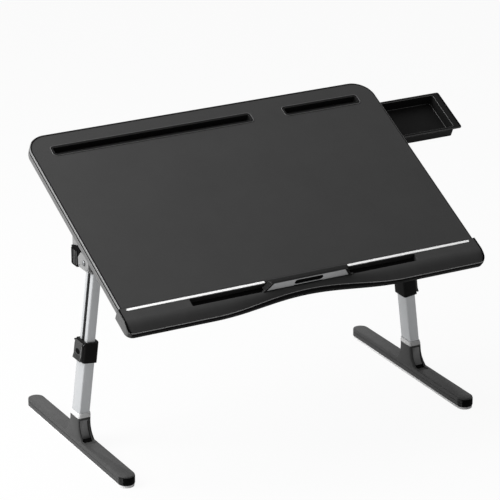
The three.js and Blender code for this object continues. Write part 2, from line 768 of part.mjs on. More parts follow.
function tiltArm(name) {
  const rise = PIVOT_DROP - FOLD_DROP;
  const blockBottom = rise - KNUCKLE_RADIUS;
  const half = ARM_THICKNESS / 2;
  const knuckleHalf = KNUCKLE_LENGTH / 2;
  const knuckle = prismY(circle(-FOLD_INSET, rise, KNUCKLE_RADIUS), -knuckleHalf, knuckleHalf);
  const web = prismY(
    roundedBox(-FOLD_INSET, blockBottom, half, rise + KNUCKLE_RADIUS - SEAT, SEAT, 1),
    -knuckleHalf,
    knuckleHalf,
  );
  const neck = prismX(
    squareBox(-ARM_NECK_HALF_WIDTH, 0, ARM_NECK_HALF_WIDTH, blockBottom + OVERRUN),
    -half,
    half,
  );
  const eye = prismX(circle(0, 0, ARM_EYE_RADIUS), -half, half);
  const ratchet = prismX(ratchetOutline(), half - RATCHET_THICKNESS, half);
  const foldBore = prismY(
    circle(-FOLD_INSET, rise, FOLD_PIN_RADIUS + SEAT, 2 * ARC_STEPS),
    -knuckleHalf - OVERRUN,
    knuckleHalf + OVERRUN,
  );
  const tiltLine = circle(0, 0, TILT_PIN_RADIUS + SEAT, 2 * ARC_STEPS);
  const tiltBore = prismX(tiltLine, -half - OVERRUN, half + OVERRUN);
  const mesh = piece(name, cut(join(knuckle, web, neck, eye, ratchet), foldBore, tiltBore), steel);
  mesh.position.set(HEAD_CENTRE_X, PIVOT_Y, -PIVOT_DROP);
  return mesh;
}

// Point of the leg's axis at a height above the floor
function legX(z) {
  return FOOT_CENTRE_X - Math.tan(LEG_SPLAY) * (z - SPLAY_HEIGHT);
}

// A piece drawn along z turned onto the splayed axis of the leg
function onAxis(geometry, z) {
  return geometry.rotateY(-LEG_SPLAY).translate(legX(z), 0, z);
}

// Length measured along the leg's axis between two heights
function alongLeg(z0, z1) {
  return (z1 - z0) / Math.cos(LEG_SPLAY);
}

// Outlines of the leg head, from the side: u towards the back, v up, the pivot at the origin
function outerCheekOutline() {
  const r = HEAD_CORNER_RADIUS;
  const belly = BUTTON_FRONT - SEAT;
  return [
    ...arc(-HEAD_FRONT + r, -HEAD_BOTTOM + r, r, Math.PI, Math.PI * 1.5),
    ...arc(belly - r, -HEAD_BOTTOM + r, r, Math.PI * 1.5, Math.PI * 2),
    at(belly, BUTTON_TOP + SEAT),
    ...arc(-HEAD_FRONT + 2 * r, BUTTON_TOP + SEAT - 2 * r, 2 * r, Math.PI / 2, Math.PI),
  ];
}

function webOutline() {
  const low = BUTTON_TOP + SEAT;
  return [
    at(HEAD_WEB_FRONT, low - OVERRUN),
    at(BUTTON_FRONT - SEAT, low - OVERRUN),
    at(BUTTON_FRONT - SEAT, low),
    at(HEAD_REAR, low),
    at(HEAD_REAR, HEAD_TOP),
    at(HEAD_REAR - REAR_WALL, HEAD_TOP),
  ];
}

function innerCheekOutline() {
  const r = HEAD_CORNER_RADIUS;
  return [
    ...arc(-HEAD_FRONT + r, -HEAD_BOTTOM + r, r, Math.PI, Math.PI * 1.5),
    ...arc(HEAD_REAR - r, -HEAD_BOTTOM + r, r, Math.PI * 1.5, Math.PI * 2),
    at(HEAD_REAR, HEAD_TOP),
    at(HEAD_REAR - REAR_WALL, HEAD_TOP),
    at(HEAD_REAR - 2 * REAR_WALL, INNER_CHEEK_TOP - SEAT),
    ...arc(-HEAD_FRONT + 2 * r, INNER_CHEEK_TOP - 2 * r, 2 * r, Math.PI / 2, Math.PI),
  ];
}

// Moulded leg head: two cheeks either side of the arm, a set-back web above the button, a rear
// wall, and a block whose plug fills the top of the inner tube
function legHead(name) {
  const outerCheek = prismX(outerCheekOutline(), CHEEK_INNER, HEAD_HALF_WIDTH);
  const webFace = HEAD_HALF_WIDTH - HEAD_WEB_SETBACK;
  const web = prismX(webOutline(), webFace - HEAD_WEB_THICKNESS, webFace);
  const innerCheek = prismX(innerCheekOutline(), -HEAD_HALF_WIDTH, -CHEEK_INNER);
  const rearWall = prismX(
    squareBox(HEAD_REAR - REAR_WALL, BUTTON_TOP + SEAT, HEAD_REAR, HEAD_TOP),
    -CHEEK_INNER - SEAT,
    CHEEK_INNER - SEAT,
  );
  const block = prismX(
    [
      at(-HEAD_FRONT, -HEAD_BLOCK_TOP),
      at(-HEAD_FRONT, -HEAD_BLOCK_BOTTOM),
      at(HEAD_BLOCK_REAR, -HEAD_BLOCK_BOTTOM),
      at(HEAD_BLOCK_REAR, -HEAD_BLOCK_BOTTOM + SEAT),
      at(HEAD_BLOCK_REAR - HEAD_BLOCK_SLOPE, -HEAD_BLOCK_TOP),
    ],
    -CHEEK_INNER - SEAT,
    CHEEK_INNER - SEAT,
  );
  const plugBottom = PIVOT_HEIGHT - HEAD_BLOCK_BOTTOM - HEAD_PLUG;
  const bore = TUBE_WALL + SEAT;
  const plug = onAxis(
    prismZ(
      centredBox(INNER_TUBE_WIDTH - 2 * bore, INNER_TUBE_LENGTH - 2 * bore, TUBE_WALL),
      0,
      alongLeg(plugBottom, PIVOT_HEIGHT - HEAD_BLOCK_BOTTOM + OVERRUN),
    ),
    plugBottom,
  ).translate(-HEAD_CENTRE_X, 0, -PIVOT_HEIGHT);
  const pinBore = prismX(
    circle(0, 0, TILT_PIN_RADIUS + SEAT, 2 * ARC_STEPS),
    -HEAD_HALF_WIDTH - OVERRUN,
    HEAD_HALF_WIDTH + OVERRUN,
  );
  const stemBore = prismX(
    circle((BUTTON_FRONT + HEAD_REAR) / 2, (BUTTON_TOP - BUTTON_BOTTOM) / 2, BUTTON_STEM_RADIUS + SEAT),
    -HEAD_HALF_WIDTH - OVERRUN,
    -CHEEK_INNER + OVERRUN,
  );
  const geometry = cut(join(outerCheek, web, innerCheek, rearWall, block, plug), pinBore, stemBore);
  return piece(name, geometry, housingPlastic);
}

// Tilt pin through the cheeks and the arm, its head on the outside
function tiltPin(name) {
  const length = 2 * HEAD_HALF_WIDTH + SEAT;
  const geometry = turnedPin(TILT_PIN_RADIUS, TILT_PIN_HEAD_RADIUS, TILT_PIN_HEAD, length);
  geometry.rotateZ(-Math.PI / 2).translate(-HEAD_HALF_WIDTH, 0, 0);
  return piece(name, geometry, steel);
}

// Tilt lock button: pressed inwards, it slides its pawl off the ratchet
function lockButton(name) {
  const inner = -BUTTON_INNER;
  const outer = HEAD_HALF_WIDTH + BUTTON_PROUD;
  const block = prismX(
    roundedBox(BUTTON_FRONT, -BUTTON_BOTTOM, HEAD_REAR, BUTTON_TOP, BUTTON_EDGE_RADIUS, ARC_STEPS / 2),
    inner,
    outer,
  );
  const stem = prismX(
    circle((BUTTON_FRONT + HEAD_REAR) / 2, (BUTTON_TOP - BUTTON_BOTTOM) / 2, BUTTON_STEM_RADIUS),
    -BUTTON_STEM_REACH,
    inner + OVERRUN,
  );
  const half = ARM_THICKNESS / 2;
  const tip = RATCHET_RADIUS + RATCHET_TOOTH + RUNNING_GAP;
  const pawl = prismX(
    [
      at(BUTTON_FRONT + OVERRUN, -PAWL_HALF_HEIGHT),
      at(BUTTON_FRONT + OVERRUN, PAWL_HALF_HEIGHT),
      at(tip, PAWL_HALF_HEIGHT / 4),
      at(tip, -PAWL_HALF_HEIGHT / 4),
    ].reverse(),
    half - RATCHET_THICKNESS,
    half,
  );
  return piece(name, join(block, stem, pawl), blackPlastic);
}

// Hollow tube section
function tube(width, length, wall, z0, z1) {
  const outside = centredBox(width, length, TUBE_RADIUS, ARC_STEPS / 2);
  const inside = centredBox(width - 2 * wall, length - 2 * wall, TUBE_RADIUS - wall, ARC_STEPS / 2);
  return prismZ(outside, z0, z1, [inside]);
}

// Inner tube over the head's plug, with the long track of the height stop in its outer face
function innerTube(name) {
  const top = PIVOT_HEIGHT - HEAD_BLOCK_BOTTOM - TUBE_TOP_GAP;
  const length = alongLeg(INNER_TUBE_END, top);
  const blank = tube(INNER_TUBE_WIDTH, INNER_TUBE_LENGTH, TUBE_WALL, 0, length);
  const half = TRACK_WIDTH / 2;
  const track = prismX(
    roundedBox(-half, TRACK_END_MARGIN, half, length - TRACK_TOP_MARGIN, half - SEAT / 2, ARC_STEPS / 2),
    INNER_TUBE_WIDTH / 2 - TUBE_WALL - OVERRUN,
    INNER_TUBE_WIDTH / 2 + OVERRUN,
  );
  return piece(name, onAxis(cut(blank, track), INNER_TUBE_END), aluminium);
}

// Outer tube, fixed in the foot
function outerTube(name) {
  const bottom = NECK_TOP - NECK_SOCKET_DEPTH + SEAT;
  const top = COLLAR_TOP - COLLAR_LIP - SEAT;
  const shell = tube(TUBE_WIDTH, TUBE_LENGTH, TUBE_WALL, 0, alongLeg(bottom, top));
  return piece(name, onAxis(shell, bottom), aluminium);
}

// Collar on the top of the outer tube, with the ears of the height lever
function collar(name) {
  const bottom = COLLAR_TOP - COLLAR_HEIGHT;
  const height = alongLeg(bottom, COLLAR_TOP);
  const shoulder = height - alongLeg(0, COLLAR_LIP);
  const body = prismZ(centredBox(COLLAR_WIDTH, COLLAR_LENGTH, COLLAR_RADIUS, ARC_STEPS / 2), 0, height);
  const wide = prismZ(
    centredBox(TUBE_WIDTH + 2 * SEAT, TUBE_LENGTH + 2 * SEAT, TUBE_RADIUS + SEAT, ARC_STEPS / 2),
    -OVERRUN,
    shoulder,
  );
  const narrow = prismZ(
    centredBox(INNER_TUBE_WIDTH + 2 * SEAT, INNER_TUBE_LENGTH + 2 * SEAT, TUBE_RADIUS + SEAT, ARC_STEPS / 2),
    shoulder - OVERRUN,
    height + OVERRUN,
  );
  const pinX = COLLAR_WIDTH / 2 + LEVER_BARREL_RADIUS + SEAT;
  const pinZ = height - LEVER_PIN_DROP;
  const earOutline = [
    at(COLLAR_WIDTH / 2 - OVERRUN, pinZ + LEVER_BARREL_RADIUS),
    at(COLLAR_WIDTH / 2 - OVERRUN, pinZ - 2 * LEVER_BARREL_RADIUS),
    ...arc(pinX, pinZ, LEVER_BARREL_RADIUS, -Math.PI / 3, Math.PI / 2),
  ];
  const ears = [-1, 1].map((side) => {
    const a = side * (LEVER_WIDTH / 2 + SEAT);
    const b = side * (LEVER_WIDTH / 2 + SEAT + LEVER_EAR_THICKNESS);
    return prismY(earOutline, Math.min(a, b), Math.max(a, b));
  });
  const restHalf = THUMB_REST_HALF_WIDTH;
  const restBottom = height - THUMB_REST_HEIGHT;
  const thumbRest = prismX(
    roundedBox(-restHalf, restBottom, restHalf, height, THUMB_REST_PROUD, ARC_STEPS / 2),
    -COLLAR_WIDTH / 2 - THUMB_REST_PROUD,
    -COLLAR_WIDTH / 2 + OVERRUN,
  );
  const reach = LEVER_WIDTH / 2 + LEVER_EAR_THICKNESS + OVERRUN;
  const bore = prismY(circle(pinX, pinZ, LEVER_PIN_RADIUS + SEAT, ARC_STEPS), -reach, reach);
  return piece(name, onAxis(cut(join(body, thumbRest, ...ears), wide, narrow, bore), bottom), blackPlastic);
}

// Height lever, a flat plate closed along the collar, its tip thicker for a finger to catch
function heightLever(name) {
  const bottom = COLLAR_TOP - COLLAR_HEIGHT;
  const height = alongLeg(bottom, COLLAR_TOP);
  const pinX = COLLAR_WIDTH / 2 + LEVER_BARREL_RADIUS + SEAT;
  const pinZ = height - LEVER_PIN_DROP;
  const face = COLLAR_WIDTH / 2 + SEAT;
  const outer = face + 2 * LEVER_BARREL_RADIUS;
  const tip = pinZ - LEVER_REACH;
  const outline = [
    at(face, pinZ),
    at(face, tip + LEVER_TIP_FLARE),
    at(face + LEVER_TIP_FLARE, tip),
    at(outer + LEVER_TIP_FLARE, tip),
    at(outer, tip + LEVER_TIP_HEIGHT),
    ...arc(pinX, pinZ, LEVER_BARREL_RADIUS, 0, Math.PI).slice(0, ARC_STEPS),
  ];
  const half = LEVER_WIDTH / 2;
  const pinLine = circle(pinX, pinZ, LEVER_PIN_RADIUS + SEAT, ARC_STEPS);
  const bore = prismY(pinLine, -half - OVERRUN, half + OVERRUN);
  return piece(name, onAxis(cut(prismY(outline, -half, half), bore), bottom), blackPlastic);
}

function leverPin(name) {
  const bottom = COLLAR_TOP - COLLAR_HEIGHT;
  const pinX = COLLAR_WIDTH / 2 + LEVER_BARREL_RADIUS + SEAT;
  const pinZ = alongLeg(bottom, COLLAR_TOP) - LEVER_PIN_DROP;
  const reach = LEVER_WIDTH / 2 + SEAT + LEVER_EAR_THICKNESS;
  const geometry = prismY(circle(pinX, pinZ, LEVER_PIN_RADIUS, ARC_STEPS), -reach, reach);
  return piece(name, onAxis(geometry, bottom), steel);
}

// Ring that finishes the outer tube where it enters the foot
function baseRing(name) {
  const rings = [
    [NECK_WIDTH, NECK_LENGTH, NECK_TOP + SEAT],
    [NECK_WIDTH, NECK_LENGTH, NECK_TOP + SEAT + BASE_RING_HEIGHT / 3],
    [TUBE_WIDTH, TUBE_LENGTH, NECK_TOP + SEAT + BASE_RING_HEIGHT],
  ];
  const outlines = rings.map(([width, length, z], i) => {
    const grow = i === 2 ? 2 * (BASE_RING_TOP_WALL + SEAT) : 0;
    const outline = centredBox(width + grow, length + grow, NECK_RADIUS, ARC_STEPS / 2);
    const centre = i === 0 ? legX(NECK_TOP) : legX(z);
    return outline.map((p) => new THREE.Vector3(p.x + centre, p.y, z));
  });
  const cap = centredBox(NECK_WIDTH, NECK_LENGTH, NECK_RADIUS, ARC_STEPS / 2);
  const bore = onAxis(
    prismZ(
      centredBox(TUBE_WIDTH + 2 * SEAT, TUBE_LENGTH + 2 * SEAT, TUBE_RADIUS, ARC_STEPS / 2),
      -BASE_RING_HEIGHT,
      2 * BASE_RING_HEIGHT,
    ),
    NECK_TOP,
  );
  return piece(name, cut(loft(outlines, cap), bore), ringPlastic);
}

// Plan of the foot: a bar with round ends
function footPlan(inset) {
  const width = FOOT_WIDTH - 2 * inset;
  return centredBox(width, FOOT_LENGTH - 2 * inset, width / 2 - END_FLAT, FOOT_END_STEPS);
}

function footTop(y) {
  const share = y / FOOT_LENGTH + 0.5;
  return FOOT_FRONT_HEIGHT + (FOOT_REAR_HEIGHT - FOOT_FRONT_HEIGHT) * share;
}

// Share of the neck's height left above a point: 1 at the bar, 0 at the neck's top
function neckShare(z) {
  const base = FOOT_REAR_HEIGHT - 2 * FOOT_EDGE_RADIUS;
  return 1 - (z - base) / (NECK_TOP - base);
}

function neckHalfLength(z) {
  return NECK_LENGTH / 2 + GUSSET_SPREAD * neckShare(z) ** LENGTH_FLARE_POWER;
}

function neckFullWidth(z) {
  return NECK_WIDTH + (FOOT_WIDTH - NECK_WIDTH) * neckShare(z) ** WIDTH_FLARE_POWER;
}

// Side view of the hollow in the neck's front: a sunk panel that runs down into a pit in the bar
function neckPanelOutline() {
  const high = NECK_TOP - NECK_PANEL_MARGIN;
  const low = FOOT_FRONT_HEIGHT - PIT_DEPTH;
  const inside = [];
  for (let i = 0; i <= GUSSET_STEPS; i += 1) {
    const z = high + ((FOOT_FRONT_HEIGHT - high) * i) / GUSSET_STEPS;
    inside.push(at(NECK_PANEL_DEPTH - neckHalfLength(z), z));
  }
  const foot = inside[GUSSET_STEPS].x;
  return [
    ...inside,
    at(foot - PIT_DEPTH / 2, low),
    at(foot - PIT_REACH, low),
    at(foot - PIT_REACH - PIT_SLOPE, FOOT_FRONT_HEIGHT + OVERRUN),
    at(foot - PIT_REACH - PIT_SLOPE, high),
  ].reverse();
}

// Moulded foot: bar, flared neck flush with its sides and hollowed in front, side grooves and
// the tube's socket
function footBar(name) {
  const under = SOLE_THICKNESS + SEAT;
  const levels = [
    [0, () => under],
    [0, (y) => footTop(y) - FOOT_EDGE_RADIUS],
    [FOOT_EDGE_SHOULDER, (y) => footTop(y) - FOOT_EDGE_SHOULDER],
    [FOOT_EDGE_RADIUS, (y) => footTop(y)],
  ];
  const rings = levels.map(([inset, height]) =>
    footPlan(inset).map((p) => new THREE.Vector3(p.x + FOOT_CENTRE_X, p.y, height(p.y))),
  );
  const bar = loft(rings, footPlan(0));
  const neckRings = [];
  const base = FOOT_REAR_HEIGHT - 2 * FOOT_EDGE_RADIUS;
  for (let i = 0; i <= GUSSET_STEPS; i += 1) {
    const z = base + ((NECK_TOP - base) * i) / GUSSET_STEPS;
    const centre = FOOT_CENTRE_X + ((legX(NECK_TOP) - FOOT_CENTRE_X) * i) / GUSSET_STEPS;
    const ring = centredBox(neckFullWidth(z), 2 * neckHalfLength(z), NECK_RADIUS, ARC_STEPS / 2);
    neckRings.push(ring.map((p) => new THREE.Vector3(p.x + centre, p.y, z)));
  }
  const neck = loft(neckRings, centredBox(NECK_WIDTH, NECK_LENGTH, NECK_RADIUS, ARC_STEPS / 2));
  const panel = prismX(
    neckPanelOutline(),
    FOOT_CENTRE_X - NECK_PANEL_WIDTH / 2,
    FOOT_CENTRE_X + NECK_PANEL_WIDTH / 2,
  );
  const grooves = [-1, 1].map((side) => {
    const face = FOOT_CENTRE_X + (side * FOOT_WIDTH) / 2;
    const top = FOOT_REAR_HEIGHT - FOOT_GROOVE_DROP;
    const reach = FOOT_LENGTH / 2 - FOOT_WIDTH / 2;
    return prismY(
      squareBox(face - FOOT_GROOVE_DEPTH, top - FOOT_GROOVE_WIDTH, face + FOOT_GROOVE_DEPTH, top),
      -reach,
      reach,
    );
  });
  const socketZ = NECK_TOP - NECK_SOCKET_DEPTH;
  const socket = onAxis(
    prismZ(
      centredBox(TUBE_WIDTH + 2 * SEAT, TUBE_LENGTH + 2 * SEAT, TUBE_RADIUS, ARC_STEPS / 2),
      0,
      alongLeg(socketZ, NECK_TOP + NECK_SOCKET_DEPTH),
    ),
    socketZ,
  );
  return piece(name, cut(join(bar, neck), panel, ...grooves, socket), footPlastic);
}

// Soft sole under the bar
function footSole(name) {
  const plan = footPlan(SOLE_INSET).map((p) => at(p.x + FOOT_CENTRE_X, p.y));
  return piece(name, prismZ(plan, 0, SOLE_THICKNESS), soleRubber);
}

// Board group, its origin on the tilt axis
function tabletop() {
  const board = new THREE.Group();
  board.position.set(0, -PIVOT_Y, PIVOT_DROP);
  board.add(
    leatherTop(),
    boardCore(),
    undersideSkin(),
    edgeBand(),
    frontMoulding(),
    gripStrip(),
    slotTray("tablet_slot", TABLET_SLOT_LEFT_X, TABLET_SLOT_LENGTH),
    slotTray("phone_slot", PHONE_SLOT_LEFT_X, PHONE_SLOT_LENGTH),
    stopBody(),
    stopFace(),
    stopPin("book_stop_pin_left", -1),
    stopPin("book_stop_pin_right", 1),
    drawer(),
    drawerRail("drawer_rail_front", -1),
    drawerRail("drawer_rail_back", 1),
  );
  for (const [suffix, side] of [["left", -1], ["right", 1]]) {
    const hinge = new THREE.Group();
    hinge.scale.x = side;
    hinge.add(foldBracket("fold_bracket_" + suffix));
    hinge.add(foldPin("fold_pin_" + suffix));
    hinge.add(tiltArm("tilt_arm_" + suffix));
    board.add(hinge);
  }
  const tilting = new THREE.Group();
  tilting.position.z = PIVOT_HEIGHT;
  tilting.rotation.x = TILT;
  tilting.add(board);
  return tilting;
}

// One leg, drawn on the right and mirrored for the left
function leg(suffix, side) {
  const whole = new THREE.Group();
  whole.scale.x = side;
  const head = new THREE.Group();
  head.position.set(HEAD_CENTRE_X, 0, PIVOT_HEIGHT);
  head.add(legHead("leg_head_" + suffix));
  head.add(tiltPin("tilt_pin_" + suffix));
  head.add(lockButton("tilt_lock_button_" + suffix));
  whole.add(
    head,
    innerTube("inner_tube_" + suffix),
    outerTube("outer_tube_" + suffix),
    collar("height_collar_" + suffix),
    heightLever("height_lever_" + suffix),
    leverPin("height_lever_pin_" + suffix),
    baseRing("tube_base_ring_" + suffix),
    footBar("foot_" + suffix),
    footSole("foot_sole_" + suffix),
  );
  return whole;
}

// The desk stands on the floor with its box centred on the origin
const desk = new THREE.Group();
desk.name = "lap_desk";
desk.add(tabletop(), leg("left", -1), leg("right", 1));
const extent = new THREE.Box3().setFromObject(desk, true);
const centre = extent.getCenter(new THREE.Vector3());
desk.position.set(-centre.x, -centre.y, -extent.min.z);

export default desk;
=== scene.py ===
import json
import math

import bmesh
import bpy
import numpy as np
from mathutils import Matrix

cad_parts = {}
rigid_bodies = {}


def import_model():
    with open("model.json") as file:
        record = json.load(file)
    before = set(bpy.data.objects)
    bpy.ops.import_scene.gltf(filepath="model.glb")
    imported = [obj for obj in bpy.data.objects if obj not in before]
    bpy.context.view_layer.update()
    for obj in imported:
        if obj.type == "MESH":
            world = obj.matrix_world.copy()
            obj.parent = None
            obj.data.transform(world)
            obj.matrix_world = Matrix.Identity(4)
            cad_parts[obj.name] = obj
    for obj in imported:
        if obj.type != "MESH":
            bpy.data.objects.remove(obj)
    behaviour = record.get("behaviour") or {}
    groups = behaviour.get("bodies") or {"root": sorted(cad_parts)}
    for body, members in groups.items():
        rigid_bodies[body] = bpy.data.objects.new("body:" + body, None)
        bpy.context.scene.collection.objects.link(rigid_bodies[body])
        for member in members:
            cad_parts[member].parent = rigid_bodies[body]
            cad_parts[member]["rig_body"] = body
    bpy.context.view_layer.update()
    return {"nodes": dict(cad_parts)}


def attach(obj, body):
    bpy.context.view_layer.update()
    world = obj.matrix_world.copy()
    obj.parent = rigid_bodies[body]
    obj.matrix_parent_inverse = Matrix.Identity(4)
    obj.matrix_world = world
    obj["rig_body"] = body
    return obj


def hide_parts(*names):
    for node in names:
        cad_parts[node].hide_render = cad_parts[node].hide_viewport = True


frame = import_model()


# Leather top. A sheet of black imitation leather glued over the board, cut out
# round the two slots, with a fine pebbled grain and a soft pressed edge.
class Pattern:
    """A number or colour that varies over a surface: one output of a material's nodes."""

    def __init__(self, finish, socket):
        self.finish = finish
        self.socket = socket

    def __add__(self, other):
        return self.finish.maths("ADD", self, other)

    __radd__ = __add__

    def __sub__(self, other):
        return self.finish.maths("SUBTRACT", self, other)

    def __rsub__(self, other):
        return self.finish.maths("SUBTRACT", other, self)

    def __mul__(self, other):
        return self.finish.maths("MULTIPLY", self, other)

    __rmul__ = __mul__

    def over(self, low, high):
        """0 up to low and 1 from high, straight between."""
        return self.finish.node(
            "ShaderNodeMapRange", {}, {"Value": self, "From Min": low, "From Max": high})


class Finish:
    """A material, or the air of the room: its nodes, and the main shader that they feed."""

    def __init__(self, name, kind="materials", shader="Principled BSDF", **sockets):
        self.material = getattr(bpy.data, kind).new(name)
        self.material.use_nodes = True
        self.tree = self.material.node_tree
        self.main = self.tree.nodes[shader]
        self.set(**sockets)

    def feed(self, socket, value):
        """Puts a value into a socket, or links a pattern to it."""
        if isinstance(value, Pattern):
            self.tree.links.new(value.socket, socket)
        else:
            socket.default_value = value

    def set(self, **sockets):
        """Feeds the main shader's sockets by their names, with _ for a space."""
        for socket, value in sockets.items():
            self.feed(self.main.inputs[socket.replace("_", " ")], value)

    def node(self, kind, settings=None, sockets=None, out=0):
        """A node of that type, its settings made first, then its sockets fed."""
        made = self.tree.nodes.new(kind)
        for name, value in (settings or {}).items():
            setattr(made, name, value)
        for name, value in (sockets or {}).items():
            self.feed(made.inputs[name], value)
        return Pattern(self, made.outputs[out])

    def maths(self, operation, *values):
        """One step of arithmetic on patterns and numbers."""
        return self.node("ShaderNodeMath", {"operation": operation}, dict(enumerate(values)))

    def place(self, stretch=(1, 1, 1), turn=(0, 0, 0)):
        """The place on the object in metres, turned, then stretched along each axis."""
        at = self.node("ShaderNodeTexCoord", out="Object")
        turned = self.node("ShaderNodeMapping", {}, {"Vector": at, "Rotation": turn})
        multiply = {"operation": "MULTIPLY"}
        return self.node("ShaderNodeVectorMath", multiply, {0: turned, 1: stretch})

    def along(self, axis, at=None):
        """The place along one axis, X, Y or Z, in metres."""
        return self.node("ShaderNodeSeparateXYZ", {}, {"Vector": at or self.place()}, out=axis)

    def cloud(self, size, at=None, detail=3.0, rough=0.55):
        """Soft noise from 0 to 1, with blotches about size metres across."""
        return self.node("ShaderNodeTexNoise", {}, {
            "Vector": at or self.place(), "Scale": 1 / size, "Detail": detail, "Roughness": rough})

    def cells(self, size, feature="F1", at=None):
        """Distance from the nearest of scattered points about size metres apart."""
        return self.node("ShaderNodeTexVoronoi", {"feature": feature}, {
            "Vector": at or self.place(), "Scale": 1 / size})

    def shade(self, share, dark, light):
        """A colour between dark and light by share; either may be a pattern itself."""
        dark, light = (c if isinstance(c, Pattern) else (*c, 1) for c in (dark, light))
        mix = {"data_type": "RGBA", "clamp_factor": True}
        return self.node("ShaderNodeMix", mix, {0: share, 6: dark, 7: light}, out=2)

    def patches(self, size, dark, light, detail=3.0):
        """The colour drifts between dark and light in blotches about size metres across."""
        self.set(Base_Color=self.shade(self.cloud(size, detail=detail), dark, light))

    def wear(self, least, spread, size):
        """The roughness drifts from least to least + spread in blotches of that size."""
        self.set(Roughness=least + spread * self.cloud(size))

    def relief(self, height, depth):
        """Raises the surface by height, in metres at a height of 1."""
        self.set(Normal=self.node("ShaderNodeBump", {}, {"Height": height, "Distance": depth}))

    def grain(self, size, depth, detail=3.0):
        """A moulded or pressed grain, size metres wide and depth metres deep."""
        self.relief(self.cloud(size, detail=detail), depth)


def grey(level):
    """The linear value of a screen grey from 0 to 255, three times over."""
    c = level / 255
    return (c / 12.92 if c < 0.04 else ((c + 0.055) / 1.055) ** 2.4,) * 3


def dressed(node, finish, edge=0.0004, steps=2, turn=30, highlight_finish=None):
    """A clean copy of a CAD solid that stands for it: the loose triangles joined at their
    corners, flat faces made whole and sharp edges rounded to the radius edge. Where a second
    finish is given, the rounded edges take it: a paler finish that paints a highlight on them."""
    source = frame["nodes"][node]
    mesh = source.data.copy()
    mesh.materials.clear()
    mesh.materials.append(finish.material)
    shape = bmesh.new()
    shape.from_mesh(mesh)
    bmesh.ops.remove_doubles(shape, verts=shape.verts, dist=2e-6)
    bmesh.ops.dissolve_limit(
        shape, angle_limit=math.radians(0.4), verts=shape.verts, edges=shape.edges)
    shape.to_mesh(mesh)
    shape.free()
    mesh.polygons.foreach_set("use_smooth", np.ones(len(mesh.polygons), bool))
    mesh.set_sharp_from_angle(angle=math.radians(turn))
    made = bpy.data.objects.new(node + "_made", mesh)
    bpy.context.scene.collection.objects.link(made)
    if highlight_finish:
        mesh.materials.append(highlight_finish.material)
    if edge:
        bevel = made.modifiers.new("edges", "BEVEL")
        bevel.width = edge
        bevel.segments = steps
        bevel.limit_method = "ANGLE"
        bevel.angle_limit = math.radians(turn)
        bevel.use_clamp_overlap = True
        bevel.harden_normals = True
        bevel.material = 1 if highlight_finish else -1
    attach(made, source["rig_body"])
    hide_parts(node)


leather = Finish("leather", Specular_IOR_Level=0.12)
pebbles = leather.cells(0.0011, "SMOOTH_F1")
creases = leather.cells(0.0034, "DISTANCE_TO_EDGE").over(0, 0.12)
blotch = leather.cloud(0.09, detail=2)
leather.set(Base_Color=leather.shade(pebbles * 0.5 + blotch * 0.5, grey(47), grey(58)))
leather.wear(0.56, 0.12, 0.03)
leather.relief(creases * 0.35 - pebbles + leather.cloud(0.0004) * 0.25, 0.00012)
dressed("leather_top", leather, edge=0.0007, steps=3)


# Board core. A fibreboard panel with the slots routed through it, hidden between
# the leather, the underside and the edge band.
fibreboard = Finish("fibreboard", Roughness=0.9)
fibres = fibreboard.cloud(0.0012, fibreboard.place((1, 1, 3)), detail=6)
fibreboard.set(Base_Color=fibreboard.shade(fibres, (0.20, 0.13, 0.07), (0.42, 0.31, 0.19)))
fibreboard.relief(fibres, 0.0002)
dressed("board_core", fibreboard, edge=0.0003)


# Underside. A black laminate with a fine leathery texture, glued below the core to
# close it.
laminate = Finish("laminate")
laminate.patches(0.0009, grey(36), grey(52), detail=4)
laminate.wear(0.52, 0.2, 0.02)
laminate.grain(0.0009, 0.00015, detail=4)
dressed("underside_skin", laminate, edge=0.0003)


# Edge band. An extruded plastic band pressed round both sides and the back: a thin
# round bead along the leather, a groove below it and a plain side with round edges.
TILT = math.radians(26.3)
DESK_X = -69.375
PIVOT_Y, PIVOT_Z = 13.267, 351.8
PIVOT_BACK, PIVOT_DROP = 183.2, 71.6


def on_board(points):
    """Points in millimetres on the board (x across from its middle, y from the grip strip to
    the back, z up from the leather) as metres where the board stands, tilted about the pivot."""
    x, y, z = np.asarray(points, float).T
    back, up = y - PIVOT_BACK, z + PIVOT_DROP
    return np.stack([
        x + DESK_X,
        back * math.cos(TILT) - up * math.sin(TILT) + PIVOT_Y,
        back * math.sin(TILT) + up * math.cos(TILT) + PIVOT_Z], axis=1) / 1000


def carried(path, out, profile, up=(0, 0, 1)):
    """A profile carried along a path, ring by ring: place + first * out + second * up, with
    first and second the profile's two numbers and out its direction at each place. The
    profile is one for the whole path or one for each place."""
    path, profile = np.asarray(path, float), np.asarray(profile, float)
    out = np.broadcast_to(out, path.shape)
    rings = path[:, None] + out[:, None] * profile[..., :1] + np.multiply(up, profile[..., 1:])
    return rings.reshape(-1, 3)


def skin(rings, count, closed=False):
    """Faces between rings of count points each, numbered ring by ring, the ends closed by
    one face each, or joined to each other when closed."""
    faces = []
    for r in range(rings if closed else rings - 1):
        low, high = r * count, (r + 1) % rings * count
        for i in range(count):
            j = (i + 1) % count
            faces.append((low + i, low + j, high + j, high + i))
    if not closed:
        faces.append(tuple(range(count - 1, -1, -1)))
        faces.append(tuple((rings - 1) * count + i for i in range(count)))
    return faces


def facing(faces, side):
    """The faces as they are on side 1 and turned round on side -1, so that they look outwards."""
    return faces if side > 0 else [tuple(reversed(face)) for face in faces]


